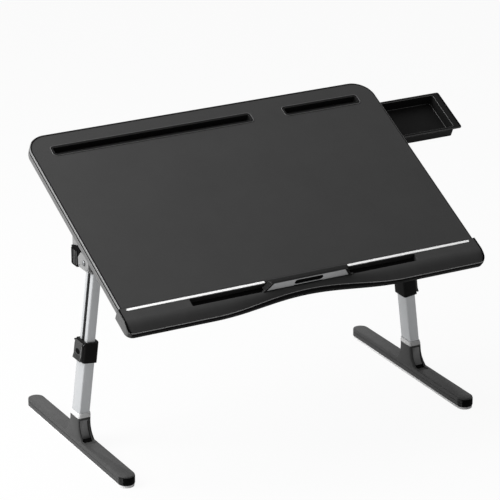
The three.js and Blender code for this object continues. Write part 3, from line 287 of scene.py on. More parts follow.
def built(name, points, faces, finish, node, turn=35):
    """A piece from its points in metres and its faces, smooth where it bends by less than
    turn degrees, moving with the solid named node."""
    mesh = bpy.data.meshes.new(name)
    mesh.from_pydata(np.asarray(points, float).tolist(), [], faces)
    mesh.validate()
    mesh.materials.append(finish.material)
    mesh.polygons.foreach_set("use_smooth", np.ones(len(mesh.polygons), bool))
    mesh.set_sharp_from_angle(angle=math.radians(turn))
    made = bpy.data.objects.new(name, mesh)
    bpy.context.scene.collection.objects.link(made)
    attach(made, frame["nodes"][node]["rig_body"])
    return made


band_plastic = Finish("band_plastic", Specular_IOR_Level=0.3)
band_plastic.patches(0.004, grey(82), grey(98), detail=4)
band_plastic.wear(0.34, 0.14, 0.012)
band_plastic.grain(0.0005, 0.00003)
# Painted shade and highlight: the band's foot, the groove and the seam under the leather's edge
# are near black, painted shade, and the bead is pale, a painted highlight.
band_dark = Finish("band_shadow_plastic", Roughness=0.7, Specular_IOR_Level=0.05)
band_dark.patches(0.01, grey(14), grey(22))
bead_highlight = Finish("band_bead_plastic", Roughness=0.3, Specular_IOR_Level=0.4)
bead_highlight.patches(0.01, grey(98), grey(112))

# The section, outwards and up, from the foot of its inner side round the outside.
band_section = np.array([
    (-5, -19.5), (-1.6, -19.5), (-0.8, -19.1), (-0.3, -18.3), (-0.05, -17.2), (0.05, -14.8),
    (0.05, -9.9), (-0.1, -9.3), (-0.6, -8.9), (-2.4, -8.5), (-2.7, -7.0), (-2.4, -5.4),
    (-0.7, -5.0), (-0.15, -4.6), (0.0, -4.0), (0.0, -2.2), (-0.1, -1.3), (-0.4, -0.7),
    (-0.85, -0.5), (-1.35, -0.6), (-1.6, 0.05), (-3.3, 0.05), (-3.4, -0.4), (-5, -4.0)])
PLAIN, DARK, BRIGHT = 0, 1, 2
section_finish = np.repeat([DARK, PLAIN, DARK, BRIGHT, DARK], [1, 7, 4, 7, 5])
SEAM_POINTS = np.arange(len(band_section)) >= 21
SEAM_WIDENING = 1.5

# The path round the board: up the right side, round two corners and down the left side.
CORNER_RADIUS, CORNER_X, CORNER_Y, BAND_FRONT_Y = 40, 320, 401, 5.7
bends = np.radians(np.arange(0, 91, 4.5))
heading = np.concatenate([[0], bends, bends + math.pi / 2, [math.pi]])
centres = np.stack([
    np.repeat([CORNER_X, -CORNER_X], len(bends) + 1),
    np.full(len(heading), CORNER_Y), np.zeros(len(heading))], axis=1)
centres[[0, -1], 1] = BAND_FRONT_Y
band_out = np.stack([np.cos(heading), np.sin(heading), 0 * heading], axis=1)

# The seam under the leather's edge widens along the back.
first = band_section[:, 0] - SEAM_WIDENING * SEAM_POINTS * np.sin(heading)[:, None]
profiles = np.stack([first, np.broadcast_to(band_section[:, 1], first.shape)], axis=2)
band_points = carried(centres + CORNER_RADIUS * band_out, band_out, profiles)
band = built(
    "edge_band_made", on_board(band_points), facing(skin(len(heading), len(band_section)), -1),
    band_plastic, "edge_band", turn=50)

# The bead is pale along both sides, a painted highlight, and painted shade along the back.
band.data.materials.append(band_dark.material)
band.data.materials.append(bead_highlight.material)
along_back = (heading[1:] > 0.5) & (heading[1:] < 2.5)
strips = np.where(along_back[:, None] & (section_finish == BRIGHT), DARK, section_finish)
band.data.polygons.foreach_set("material_index", np.append(strips, [PLAIN, PLAIN]))
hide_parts("edge_band")


# Front moulding. One long black injection moulding with a hollow face, a waved
# front lip and a long channel, in a fine spark texture. Below its lip it falls
# back to a face painted near black as shade, and rougher; its end faces are painted paler as
# light.
BAY_HALF_WIDTH, BAY_DEPTH = 190, 17
LIP_LEVEL, LIP_RISE = 0.3698, 0.0039
moulding_plastic = Finish("moulding_plastic", Specular_IOR_Level=0.06)
level_place = moulding_plastic.place(turn=(-TILT, 0, 0))
sideways = moulding_plastic.maths(
    "ABSOLUTE", moulding_plastic.along("X", level_place) - DESK_X / 1000)
into_bay = moulding_plastic.maths("MINIMUM", sideways, BAY_HALF_WIDTH / 1000)
swell = moulding_plastic.maths("COSINE", into_bay * (1000 * math.pi / BAY_HALF_WIDTH))
height = moulding_plastic.along("Z", level_place) - LIP_RISE / 2 * (swell + 1)
# Painted shade and light: the face under the lip is coloured near black and the end faces paler.
shaded_under_lip = (1 - height.over(LIP_LEVEL, LIP_LEVEL + 0.0008)) * (1 - sideways.over(0.3555, 0.3585))
lit_end_face = sideways.over(0.3618, 0.3622)
mould_tone_and_lit_ends = moulding_plastic.shade(
    lit_end_face * 0.8 + moulding_plastic.cloud(0.03) * 0.2, grey(56), grey(92))
mould_spark = moulding_plastic.cloud(0.0005, detail=4, rough=0.7)
moulding_plastic.set(
    Base_Color=moulding_plastic.shade(shaded_under_lip, mould_tone_and_lit_ends, (0.0012, 0.0012, 0.0012)),
    Roughness=0.36 + 0.14 * moulding_plastic.cloud(0.015) + 0.06 * mould_spark + 0.3 * shaded_under_lip)
moulding_plastic.relief(mould_spark, 0.00006)
dressed("front_moulding", moulding_plastic, edge=0.0007, steps=3)


# End seams. A black parting line runs along the top edge of each rounded end of the
# moulding, from the leather down the hollow face to the lip.
SIDES = (("left", -1), ("right", 1))
FACE_TOP_Y, FACE_FRONT_Y, FACE_DROP = -20.8, -48.4, 12
FACE_OUT = [0, 0.2, 0.42, 0.62, 0.8, 0.91, 1]
FACE_DOWN = [0, 0.03, 0.17, 0.42, 0.72, 0.9, 1]
END_X, END_RADIUS = 364, 14


def end_fall(past):
    """How far a rounded end falls back where it has run past millimetres into its curve:
    radius - sqrt(radius squared - past squared)."""
    return END_RADIUS - np.sqrt(np.maximum(0, END_RADIUS ** 2 - np.maximum(0, past) ** 2))


# A near-black plastic for seams and black parts, laid on also as painted shade: the button shade
# patches, the lever dishes, the foot caps and the neck frames.
seam_and_shade_black = Finish("seam_and_shade_black", Roughness=0.8, Specular_IOR_Level=0.03)
seam_and_shade_black.patches(0.01, grey(6), grey(12))
seam_and_shade_black.grain(0.001, 0.00003)
seam_y = np.concatenate([np.linspace(4.6, FACE_TOP_Y, 8), np.linspace(-22.5, -44.5, 14)])
seam_z = -FACE_DROP * np.interp(
    (seam_y - FACE_TOP_Y) / (FACE_FRONT_Y - FACE_TOP_Y), FACE_OUT, FACE_DOWN)
seam_x = END_X - end_fall(FACE_FRONT_Y + END_RADIUS - seam_y)
seam_section = [(-3.6, -0.5), (-3.4, 0.1), (-0.5, 0.1), (0.1, -1.1)]
for suffix, side in SIDES:
    seam_points = carried(
        np.stack([side * seam_x, seam_y, seam_z], axis=1), (side, 0, 0), seam_section)
    built("end_seam_" + suffix, on_board(seam_points),
          facing(skin(len(seam_y), len(seam_section)), -side), seam_and_shade_black, "front_moulding")


# Lip line. A fine raised line along the moulding's lip in a pale finish, a painted
# highlight where the lip's edge catches the light: a thin oval carried along the waved lip.
LINE_DROP, LINE_HALF_WIDTH, LINE_HALF_HEIGHT = 10.95, 0.6, 0.8
lip_highlight_plastic = Finish("lip_highlight_plastic", Roughness=0.35, Specular_IOR_Level=0.3)
lip_highlight_plastic.patches(0.02, grey(128), grey(148))
lip_highlight_plastic.grain(0.0006, 0.00003)
end_start = END_X - END_RADIUS
line_end = end_start + END_RADIUS * np.sin(np.radians(np.arange(6, 56, 5)))
across = np.concatenate([-line_end[::-1], np.linspace(-end_start, end_start, 141), line_end])
wave = np.where(
    np.abs(across) < BAY_HALF_WIDTH, (1 + np.cos(np.pi * across / BAY_HALF_WIDTH)) / 2, 0)
front = FACE_FRONT_Y + BAY_DEPTH * wave + end_fall(np.abs(across) - end_start)
drop = LINE_DROP - 1000 * LIP_RISE * wave
reach = np.interp(drop / FACE_DROP, FACE_DOWN, FACE_OUT) + 0.01
line = np.stack([across, FACE_TOP_Y + (front - FACE_TOP_Y) * reach, -drop], axis=1)
ahead = np.gradient(line, axis=0)
line_out = np.stack([ahead[:, 1], -ahead[:, 0], 0 * across], axis=1)
line_out /= np.linalg.norm(line_out, axis=1)[:, None]
turns = np.radians(np.arange(0, 360, 45))
oval = np.stack([LINE_HALF_WIDTH * np.cos(turns), -LINE_HALF_HEIGHT * np.sin(turns)], axis=1)
built("lip_line", on_board(carried(line, line_out, oval)), skin(len(line), len(turns)),
      lip_highlight_plastic, "front_moulding", turn=80)


# Moulding screws. Six plated pan-head screws with a cross recess hold the moulding
# to the board from below.
steel = Finish("plated_steel", Metallic=1.0)
brushing = steel.cloud(0.0006, steel.place((1, 0.06, 1)), detail=4)
steel.patches(0.01, (0.42, 0.43, 0.44), (0.58, 0.59, 0.6))
steel.set(Roughness=0.28 + 0.18 * brushing)
steel.relief(brushing, 0.00002)


def many(shapes, faces):
    """The points of equal shapes one after the other, and the faces of them all."""
    starts = range(0, len(shapes) * len(shapes[0]), len(shapes[0]))
    return np.concatenate(shapes), [tuple(s + i for i in face) for s in starts for face in faces]


def screws(name, places, radius, finish, node):
    """Pan-head screws in one piece. places holds for each its centre in metres and the two
    directions along its face. A head is rings of 16 points, reach * radius from its axis and
    height * radius above its foot; in the crossed rings the reach shrinks between the arms."""
    turns = np.radians(np.add.outer((0, 90, 180, 270), (-14, 14, 31, 59)).ravel())
    arms = np.tile((0.5, 0.5, 0.2, 0.2), 4)
    rings = [(1.0, -0.3, 1), (1.0, 0.22, 1), (0.82, 0.42, 1), (1.0, 0.46, arms), (0.9, 0.12, arms)]
    head = radius * np.concatenate([np.stack([
        reach * share * np.cos(turns), reach * share * np.sin(turns), 0 * turns + height], axis=1)
        for reach, height, share in rings])
    heads = [np.add(centre, head @ np.stack([right, back, np.cross(right, back)]))
             for centre, right, back in places]
    points, faces = many(heads, skin(len(rings), len(turns)))
    built(name, points, faces, finish, node)


def under_board(x, y, z):
    """A screw's place under the board, facing down."""
    centre, right, back = on_board([(x, y, z), (x + 1, y, z), (x, y - 1, z)])
    return centre, (right - centre) * 1000, (back - centre) * 1000


screws("moulding_screws", [under_board(x, -14, -22.7) for x in (-330, -230, -120, 120, 230, 330)],
       0.0032, steel, "front_moulding")


# Grip strip. A white silicone cord pressed into a groove behind the long channel,
# slightly domed, so that nothing slides off the board.
silicone = Finish("white_silicone", Roughness=0.55, Subsurface_Weight=0.15,
                  Subsurface_Radius=(0.002, 0.002, 0.002))
silicone.patches(0.02, grey(244), grey(252))
silicone.grain(0.0007, 0.00004)
dressed("grip_strip", silicone, edge=0.0006, steps=3)


# Strip bridge. Behind the stop flap the strip runs under a low bridge of black
# plastic, moulded with soft edges, so that it shows in two lengths.
black_plastic = Finish("black_plastic", Specular_IOR_Level=0.1)
spark = black_plastic.cloud(0.0005, detail=4, rough=0.7)
black_plastic.patches(0.03, grey(20), grey(28))
black_plastic.set(Roughness=0.36 + 0.14 * black_plastic.cloud(0.015) + 0.06 * spark)
black_plastic.relief(spark, 0.00006)


def bar(section, axis, ends):
    """A straight bar along an axis (0, 1 or 2): its section in the other two, once at each end."""
    return np.concatenate([np.insert(np.array(section, float), axis, end, axis=1) for end in ends])


bridge = [(-3.0, -0.3), (3.0, -0.3), (3.0, 0.9), (2.6, 1.15), (-2.6, 1.15), (-3.0, 0.9)]
built("strip_bridge", on_board(bar(bridge, 0, (-78.2, 91.3))), skin(2, len(bridge)),
      black_plastic, "front_moulding")


# Slots. A long and a short black moulded trough let into the board, each with a
# thin rim and a round bead half sunk in it. The bead and the troughs' rounded edges
# are pale, painted highlights.
SLOT_MIDDLE_Y, SLOT_HALF_WIDTH = 396.65, 7.65
BEAD_OUT, BEAD_CORNER, BEAD_RADIUS, RIM_TOP = 4.6, 7.0, 0.55, 0.5
# A paler, glossier finish for rounded edges, beads and ribs on the black parts: painted highlights
# where they catch the light.
edge_highlight = Finish("edge_highlight", Specular_IOR_Level=0.5)
edge_highlight.patches(0.008, grey(64), grey(84))
edge_highlight.wear(0.26, 0.12, 0.006)
edge_highlight.grain(0.0006, 0.00003)
deep_plastic = Finish("deep_black_plastic", Specular_IOR_Level=0.06)
deep_plastic.patches(0.02, grey(16), grey(24))
deep_plastic.wear(0.62, 0.14, 0.01)
deep_plastic.grain(0.0005, 0.00005, detail=4)


def slot_bead(name, left, length, node):
    """A bead round a slot's rim: a small circle carried along an oblong with rounded corners,
    whose path is the nearest corner's centre + corner radius * (cos, sin) of the heading."""
    around = np.radians(np.arange(0, 360, 9) + 4.5)
    out = np.stack([np.cos(around), np.sin(around), 0 * around], axis=1)
    half = np.array([length / 2, SLOT_HALF_WIDTH, 0]) + (BEAD_OUT, BEAD_OUT, 0)
    centres = (left + length / 2, SLOT_MIDDLE_Y, RIM_TOP) + np.sign(out) * (
        half - (BEAD_CORNER, BEAD_CORNER, 0))
    turns = np.radians(np.arange(0, 360, 60))
    circle = BEAD_RADIUS * np.stack([np.cos(turns), -np.sin(turns)], axis=1)
    built(name, on_board(carried(centres + BEAD_CORNER * out, out, circle)),
          skin(len(around), len(turns), closed=True), edge_highlight, node, turn=80)


for node, left, length in (("tablet_slot", -317, 402.3), ("phone_slot", 161.5, 154.6)):
    dressed(node, deep_plastic, edge=0.0003, highlight_finish=edge_highlight)
    slot_bead(node + "_bead", left, length, node)


# Stop flap. A black flap with slanted ends and a finger recess, faced with a
# blue-grey plate, turning on two steel pins at the channel's front edge.
stop_plastic = Finish("grey_plastic")
stop_plastic.patches(0.01, (0.43, 0.435, 0.44), (0.52, 0.525, 0.53))
stop_plastic.wear(0.36, 0.1, 0.008)
stop_plastic.grain(0.0005, 0.00004)
dressed("book_stop", deep_plastic, edge=0.0005, highlight_finish=edge_highlight)
dressed("book_stop_face", stop_plastic, edge=0.0004)
for suffix, side in SIDES:
    dressed("book_stop_pin_" + suffix, steel, edge=0)


# Recess rim. A thin plate closes the finger recess below and rounds its ends: the
# rim of a box, carried inwards to a slot with half-round ends.
RIM_FRONT_Y, RIM_MIDDLE, RIM_HALF_WIDTH, RIM_HALF_HEIGHT, RIM_DEEP = -20.86, 8.4, 29.3, 6.6, 1.4
HOLE_REACH, HOLE_RADIUS = 23.3, 5.6
bend = np.radians(np.arange(0, 360, 7.5) + 3.75)
level_edge = np.abs(np.sin(bend)) > 0.6
hole_x = np.sign(np.cos(bend)) * HOLE_REACH + HOLE_RADIUS * np.cos(bend)
hole_z = HOLE_RADIUS * np.sin(bend)
rim_x = np.where(level_edge, hole_x, np.sign(np.cos(bend)) * RIM_HALF_WIDTH)
rim_z = RIM_HALF_HEIGHT * np.where(level_edge, np.sign(np.sin(bend)), np.sin(bend) / 0.6)
rim_rings = [(rim_x, rim_z, RIM_DEEP), (rim_x, rim_z, 0.0), (hole_x * 1.012, hole_z * 1.07, 0.0),
             (hole_x, hole_z, 0.25), (hole_x, hole_z, RIM_DEEP)]
rim_points = np.concatenate([
    np.stack([x, RIM_FRONT_Y + 0 * x + depth, RIM_MIDDLE + z], axis=1)
    for x, z, depth in rim_rings])
built("recess_rim", on_board(rim_points), skin(len(rim_rings), len(bend), closed=True),
      stop_plastic, "book_stop_face", turn=50)


# Drawer. A moulded black tub with a rim and a pull, whose outer edge is rolled up
# into a round lip; the rim runs in two folded steel rails screwed under the board.
dressed("drawer", deep_plastic, edge=0.0005, highlight_finish=edge_highlight)
turns = np.radians(np.arange(0, 360, 30))
lip_path = [(503.6, y, -22.2) for y in (393.8, 347.9, 302)]
lip_oval = np.stack([2.3 * np.cos(turns), 1.5 * np.sin(turns)], axis=1)
built("drawer_handle_lip", on_board(carried(lip_path, (1, 0, 0), lip_oval)),
      skin(len(lip_path), len(turns)), seam_and_shade_black, "drawer")
for end, y in (("front", 291.7), ("back", 404.1)):
    dressed("drawer_rail_" + end, steel, edge=0.0002)
    screws("rail_screws_" + end, [under_board(x, y, -21.6) for x in (142, 236, 330)],
           0.0034, steel, "drawer_rail_" + end)


# Fold hinges and tilt arms. Under the board on each side a steel bracket, held by
# four screws, carries the fold pin, and the tilt arm with its ratchet hangs on it.
BRACKET_X, BRACKET_FACE = 301.7, -22.3
for suffix, side in SIDES:
    for node in ("fold_bracket_", "fold_pin_", "tilt_arm_"):
        dressed(node + suffix, steel, edge=0.0003)
    screws("bracket_screws_" + suffix,
           [under_board(side * BRACKET_X + x, PIVOT_BACK + y, BRACKET_FACE)
            for x in (-14, 14) for y in (-26, 26)],
           0.0032, steel, "fold_bracket_" + suffix)


# Leg heads. Each is a moulded housing of two cheeks and a socket for the tube. The
# tilt pin crosses it, and two dark screws in each cheek hold the halves together.
HEAD_X, CHEEK = 317.2, 19.5
housing = Finish("housing_plastic", Specular_IOR_Level=0.3)
housing.patches(0.02, grey(116), grey(134))
housing.wear(0.4, 0.12, 0.01)
housing.grain(0.0006, 0.00005)
dark_steel = Finish("blackened_steel", Metallic=1.0)
dark_steel.patches(0.002, (0.16, 0.165, 0.17), (0.26, 0.265, 0.27))
dark_steel.wear(0.4, 0.15, 0.001)
dark_steel.grain(0.0005, 0.00002)


def on_head(side, points):
    """Points in millimetres on a leg head (x outwards from its middle, y back and z up from
    the pivot) as metres on the left (side -1) or the right (side 1)."""
    x, y, z = np.asarray(points, float).T
    return np.stack([side * (HEAD_X + x) + DESK_X, y + PIVOT_Y, z + PIVOT_Z], axis=1) / 1000


for suffix, side in SIDES:
    dressed("leg_head_" + suffix, housing, edge=0.0007)
    dressed("tilt_pin_" + suffix, dark_steel, edge=0.0006, steps=3)
    screws("head_screws_" + suffix,
           [(on_head(side, [(CHEEK * cheek, y, -8.2)])[0], (0, side * cheek, 0), (0, 0, 1))
            for cheek in (-1, 1) for y in (-12.2, 18.6)],
           0.0019, dark_steel, "leg_head_" + suffix)


# Button shade patches. A thin near-black plate stands on each outer cheek over the lock
# button and in front of it, painted shade in the hollow round the button; its outer edges are
# broken.
shade_patch = [(51.0, 16.3), (51.0, 18.2), (27.0, 24.6), (12.6, 17.0), (25.2, 3.5), (25.2, 16.3)]
shade_patch_face = [(50.6, 16.7), (50.6, 17.9), (27.0, 24.1), (13.4, 16.9), (24.8, 4.6), (24.8, 16.7)]
shade_patch_rings = ((shade_patch, 17.3), (shade_patch, 19.8), (shade_patch_face, 20.2))
shade_patch_points = np.concatenate([np.insert(ring, 0, x, axis=1) for ring, x in shade_patch_rings])
for suffix, side in SIDES:
    built("button_shade_patch_" + suffix, on_head(side, shade_patch_points),
          facing(skin(len(shade_patch_rings), len(shade_patch)), side), seam_and_shade_black,
          "leg_head_" + suffix)


# Tilt lock buttons. A black moulded button slides through each outer cheek and lifts
# its pawl off the ratchet; three ribs across its face give the thumb a hold.
rib = np.array([(20.3, -0.9), (20.9, -0.5), (20.9, 0.5), (20.3, 0.9)])
ribs, rib_faces = many([bar(rib + (0, y), 2, (-14, 13)) for y in (30, 36, 42)], skin(2, len(rib)))
for suffix, side in SIDES:
    dressed("tilt_lock_button_" + suffix, seam_and_shade_black, edge=0.0005,
            highlight_finish=edge_highlight)
    # The ribs are in the pale edge finish, painted highlights.
    built("button_ribs_" + suffix, on_head(side, ribs), facing(rib_faces, side), edge_highlight,
          "tilt_lock_button_" + suffix)


# Leg tubes. The inner tube of drawn, anodised aluminium slides in the outer one; both
# are brushed along their length.
aluminium = Finish("anodised_aluminium", Metallic=0.35)
lines = aluminium.cloud(0.0005, aluminium.place((1, 1, 0.02)), detail=4)
aluminium.set(
    Base_Color=aluminium.shade(lines, (0.41, 0.42, 0.43), (0.50, 0.51, 0.52)),
    Roughness=0.3 + 0.16 * lines)
aluminium.relief(lines, 0.00002)
for suffix, side in SIDES:
    dressed("inner_tube_" + suffix, aluminium, edge=0.0003)
    dressed("outer_tube_" + suffix, aluminium, edge=0.0003)


# Track liners and height racks. Two black strips line the mouth of the long track in
# each inner tube. Inside it lies a plastic strip with rungs, where the stop catches.
FOOT_X, SPLAY, SPLAY_HEIGHT = 352.6, math.radians(6.9), 42
rack_plastic = Finish("rack_plastic", Roughness=0.6, Specular_IOR_Level=0.08)
rack_plastic.patches(0.004, grey(14), grey(24))
rack_plastic.grain(0.0006, 0.00005)


def on_leg(side, points):
    """Points in millimetres on the leg's axis (x outwards, y back, z along the axis from the
    floor) as metres on the left (side -1) or the right (side 1). The axis leans in by SPLAY
    and stands over the foot's middle at SPLAY_HEIGHT."""
    x, y, z = np.asarray(points, float).T
    out = FOOT_X + math.tan(SPLAY) * SPLAY_HEIGHT + x * math.cos(SPLAY) - z * math.sin(SPLAY)
    up = x * math.sin(SPLAY) + z * math.cos(SPLAY)
    return np.stack([side * out + DESK_X, y + PIVOT_Y, up], axis=1) / 1000


def plate(x, half, ends):
    """A flat bar along the leg, from x[0] to x[1] outwards and half to each side."""
    return bar([(x[0], -half), (x[1], -half), (x[1], half), (x[0], half)], 2, ends)


liners, liner_faces = many([
    bar([(8.7, low), (8.92, low + 0.1), (8.92, high - 0.1), (8.7, high)], 2, (205, 334))
    for low, high in ((-5.2, -3.45), (3.45, 5.2))], skin(2, 4))
rungs = [plate((6.6, 7.9), 2.9, (z - 1.6, z + 1.6)) for z in np.arange(186, 318, 7.0)]
rack, rack_faces = many(
    [plate((5.6, 7.0), 4.6, (170, 321.5)), plate((7.14, 7.36), 4.2, (320, 334.5))] + rungs,
    skin(2, 4))
for suffix, side in SIDES:
    for name, points, faces in (
            ("track_liner_", liners, liner_faces), ("height_rack_", rack, rack_faces)):
        built(name + suffix, on_leg(side, points), facing(faces, side), rack_plastic,
              "inner_tube_" + suffix)


# Height collars and levers. A black collar caps each outer tube, and a moulded
# lever turns on a steel pin in it to clamp the inner tube.
lever_plastic = Finish("lever_plastic", Roughness=0.4, Specular_IOR_Level=0.15)
lever_plastic.patches(0.01, grey(44), grey(58))
lever_plastic.grain(0.0005, 0.00005, detail=4)
for suffix, side in SIDES:
    dressed("height_collar_" + suffix, deep_plastic, edge=0.0009, steps=3,
            highlight_finish=edge_highlight)
    dressed("height_lever_" + suffix, lever_plastic, edge=0.0009,
            highlight_finish=edge_highlight)
    dressed("height_lever_pin_" + suffix, steel, edge=0.0003)


# Lever details. On each lever's face are a shallow oval dish in its lower half, coloured near
# black as painted shade, a thin pale bead along each upright edge as a painted highlight, and
# five fine ribs across its tip.
LEVER_FACE_X, DISH_Z, DISH_HALF_WIDTH, DISH_HALF_HEIGHT = 17.75, 184.6, 8.6, 5.0
LEVER_BEAD_X, LEVER_BEAD_Y, TIP_Z, GRIP_PITCH = 17.9, 14.3, 168.6, 1.9
turns = np.radians(np.arange(0, 360, 15))
shade_dish = np.concatenate([np.stack([
    0 * turns + LEVER_FACE_X + depth, DISH_HALF_WIDTH * reach * np.cos(turns),
    DISH_Z + DISH_HALF_HEIGHT * reach * np.sin(turns)], axis=1)
    for reach, depth in ((0.9, -0.4), (1.0, 0.12), (0.82, 0.14), (0.62, 0.06))])
dish_faces = skin(4, len(turns))
turns = np.radians(np.arange(0, 360, 45))
circle = BEAD_RADIUS * np.stack([np.cos(turns), np.sin(turns)], axis=1)
beads, bead_faces = many(
    [bar(circle + (LEVER_BEAD_X, y), 2, (172.5, 197.0)) for y in (-LEVER_BEAD_Y, LEVER_BEAD_Y)],
    skin(2, len(turns)))
grip = np.array([(-0.3, -0.5), (0.35, -0.25), (0.35, 0.25), (-0.3, 0.5)])
grip_heights = TIP_Z + 1.2 + GRIP_PITCH * np.arange(5)
grips, grip_faces = many(
    [bar(grip + (19.7 - 2.0 * (z - TIP_Z) / 11, z), 1, (-11, 11)) for z in grip_heights],
    skin(2, len(grip)))
for suffix, side in SIDES:
    for name, points, faces, look, finish, turn in (
            ("lever_shade_dish_", shade_dish, dish_faces, side, seam_and_shade_black, 20),
            ("lever_highlight_bead_", beads, bead_faces, side, lip_highlight_plastic, 80),
            ("lever_grip_", grips, grip_faces, -side, black_plastic, 35)):
        built(name + suffix, on_leg(side, points), facing(faces, look), finish,
              "height_lever_" + suffix, turn=turn)


# Feet. Each is a moulded bar with a flared neck, a pale ring round the tube where it
# enters the neck, and a pale rubber sole glued below.
ring_plastic = Finish("ring_plastic", Roughness=0.42)
ring_plastic.patches(0.01, grey(190), grey(206))
ring_plastic.grain(0.0005, 0.00004)
foot_plastic = Finish("foot_plastic", Specular_IOR_Level=0.12)
foot_plastic.patches(0.03, grey(54), grey(68))
foot_plastic.wear(0.4, 0.12, 0.02)
foot_plastic.grain(0.0006, 0.00006)
sole_rubber = Finish("sole_rubber", Roughness=0.8)
sole_rubber.patches(0.01, grey(214), grey(232))
sole_rubber.grain(0.0008, 0.0001)
for suffix, side in SIDES:
    dressed("tube_base_ring_" + suffix, ring_plastic, edge=0.0004)
    dressed("foot_" + suffix, foot_plastic, edge=0.0006, steps=3,
            highlight_finish=edge_highlight)
    dressed("foot_sole_" + suffix, sole_rubber, edge=0.0005)


# Foot caps. A thin near-black band with fine flutes wraps the front end of each bar, painted
# shade on the end turned from the light, and eight paler ribs stand on it, four to each side,
# painted reflections.
TIP_Y, CAP_RADIUS, FLUTE, FLUTES = -190.65, 15.3, 0.2, 15


def on_foot(side, points):
    """Points in millimetres at a foot (x outwards from its middle, y back from the pivot, z up
    from the floor) as metres on the left (side -1) or the right (side 1)."""
    x, y, z = np.asarray(points, float).T
    return np.stack([side * (FOOT_X + x) + DESK_X, y + PIVOT_Y, z], axis=1) / 1000


def round_tip(reach, around):
    """Places round the bar's front end, reach from its centre, around counted from the front."""
    return reach * np.sin(around), TIP_Y - reach * np.cos(around)


around = np.radians(np.linspace(-88, 88, 117))
flutes = CAP_RADIUS + FLUTE * np.abs(np.cos(around * FLUTES)) ** 0.7
cap_rings = ((5.4, 0.45), (5.9, 0.0), (19.2, 0.0), (19.8, 0.45))
cap = np.concatenate([
    np.stack([*round_tip(flutes - inset, around), 0 * around + z], axis=1)
    for z, inset in cap_rings])
count = len(around)
cap_faces = [(low + i, low + i + 1, low + count + i + 1, low + count + i)
             for low in range(0, 3 * count, count) for i in range(count - 1)]
rib_reach = np.array([15.2, 15.75, 15.75, 15.2])
rib_swing = np.array([-1.6, -0.9, 0.9, 1.6])
reflection_ribs, reflection_rib_faces = many(
    [bar(np.stack(round_tip(rib_reach, np.radians(turn + rib_swing)), axis=1), 2, (6.2, 18.9))
     for turn in (-80, -70, -60, -50, 50, 60, 70, 80)], skin(2, 4))
for suffix, side in SIDES:
    built("foot_cap_" + suffix, on_foot(side, cap), facing(cap_faces, side), seam_and_shade_black,
          "foot_" + suffix, turn=60)
    built("foot_cap_ribs_" + suffix, on_foot(side, reflection_ribs), facing(reflection_rib_faces, side),
          edge_highlight, "foot_" + suffix)


# Neck inserts. A dull black frame and a glossy panel in it are let into the hollow
# front of each neck. The frame is painted shade along the hollow's edges and runs down
# into the pit in the bar as its painted shadow; the panel is painted near black at the
# bottom and lighter towards the top, painted shade and painted light.
NECK_FOOT, NECK_RISE = 15.8, 44.2
panel_gloss = Finish("panel_gloss", Specular_IOR_Level=0.5)
# Painted light: the panel goes from near black at the bottom to mid grey at the top.
panel_painted_light = panel_gloss.along("Z").over(0.025, 0.044)
panel_gloss.set(Base_Color=panel_gloss.shade(
    panel_painted_light * (0.85 + 0.15 * panel_gloss.cloud(0.006)), grey(12), grey(116)))
panel_gloss.wear(0.24, 0.1, 0.004)
panel_gloss.grain(0.001, 0.00003)
heights = np.linspace(18.6, 55.9, 22)
neck_front = -(18.5 + 21 * (1 - (heights - NECK_FOOT) / NECK_RISE) ** 3)
neck_path = np.stack([0 * heights, neck_front, heights], axis=1)
shade_frame_section = [(-8.95, 2.6), (-8.95, 2.1), (8.95, 2.1), (8.95, 2.6)]
panel_section = [(-7.6, 2.2), (-7.6, 1.5), (-7.0, 1.2), (7.0, 1.2), (7.6, 1.5), (7.6, 2.2)]
for suffix, side in SIDES:
    for name, path, section, finish in (
            ("neck_shade_frame_", neck_path, shade_frame_section, seam_and_shade_black),
            ("neck_panel_", neck_path[3:], panel_section, panel_gloss)):
        built(name + suffix, on_foot(side, carried(path, (1, 0, 0), section, up=(0, 1, 0))),
              facing(skin(len(path), len(section)), side), finish,
              "foot_" + suffix, turn=50)


# Floor. A plain pale sheet that runs on out of sight and holds the desk's shadow. The
# camera sees it almost white, and the light that it throws back has its own pale grey.
REACH = 30
FLOOR_WHITENESS = 0.94


def seen(finish):
    """1 for what the camera sees, straight or in a gloss or through a piece, and 0 for the
    light that a surface throws on the others."""
    camera, gloss, through = (
        finish.node("ShaderNodeLightPath", out=f"Is {ray} Ray")
        for ray in ("Camera", "Glossy", "Transmission"))
    return finish.node("ShaderNodeMath", {"operation": "ADD", "use_clamp": True},
                       {0: camera + gloss, 1: through})


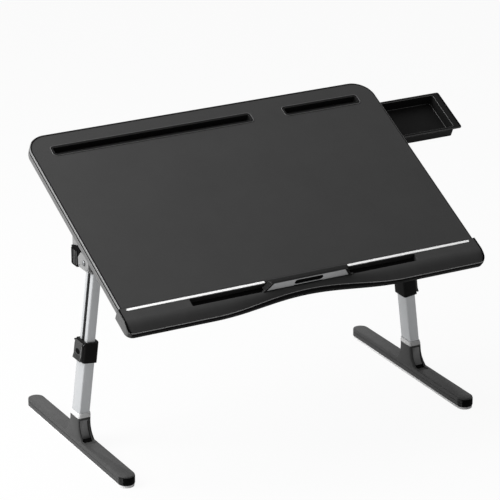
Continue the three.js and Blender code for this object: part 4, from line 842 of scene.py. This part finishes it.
floor_finish = Finish(
    "floor", Roughness=1.0, Specular_IOR_Level=0.0, Base_Color=(0.6, 0.6, 0.6, 1))
whiteness = seen(floor_finish) * FLOOR_WHITENESS
glow = floor_finish.node("ShaderNodeEmission", {}, {"Color": (1, 1, 1, 1), "Strength": 1.0})
blend = floor_finish.node("ShaderNodeMixShader", {}, {0: whiteness, 2: glow})
floor_finish.tree.links.new(floor_finish.main.outputs[0], blend.socket.node.inputs[1])
floor_finish.tree.links.new(
    blend.socket, floor_finish.tree.nodes["Material Output"].inputs["Surface"])
floor_mesh = bpy.data.meshes.new("floor")
floor_mesh.from_pydata(
    [(-REACH, -REACH, 0), (REACH, -REACH, 0), (REACH, REACH, 0), (-REACH, REACH, 0)],
    [], [(0, 1, 2, 3)])
floor_mesh.materials.append(floor_finish.material)
floor = bpy.data.objects.new("floor", floor_mesh)
bpy.context.scene.collection.objects.link(floor)


# Light. A room that looks white and lights the desk dimly, a soft box on the left,
# and a larger one high above the back.
DIM, WHITE = 0.22, 1.0
air = Finish("room", "worlds", "Background", Color=(1, 1, 1, 1))
air.set(Strength=DIM + (WHITE - DIM) * seen(air))
bpy.context.scene.world = air.material


def soft_box(name, place, aim, size, power):
    """A square lamp of that size at place, turned towards aim."""
    lamp = bpy.data.lights.new(name, "AREA")
    lamp.shape = "SQUARE"
    lamp.size = size
    lamp.energy = power
    stand = bpy.data.objects.new(name, lamp)
    stand.location = place
    towards = np.subtract(aim, place)
    stand.rotation_euler = (
        math.atan2(math.hypot(towards[0], towards[1]), -towards[2]), 0,
        math.atan2(towards[0], -towards[1]) + math.pi)
    bpy.context.scene.collection.objects.link(stand)


MIDDLE = (0, 0, 0.3)
soft_box("left_box", (-1.9, 0.3, 1.3), MIDDLE, 1.2, 50)
soft_box("top_box", (-0.9, 0.9, 2.4), MIDDLE, 2.0, 50)


# Camera. A long lens from the front left, a little above the desk.
lens = bpy.data.cameras.new("camera")
lens.lens = 206.21
lens.sensor_width = 36
lens.clip_end = 100
camera = bpy.data.objects.new("camera", lens)
camera.location = (-2.40906, -4.29473, 2.21071)
camera.rotation_euler = (math.radians(68.8575), 0, math.radians(-28.499))
bpy.context.scene.collection.objects.link(camera)
bpy.context.scene.camera = camera
bpy.context.scene.view_settings.view_transform = "Standard"
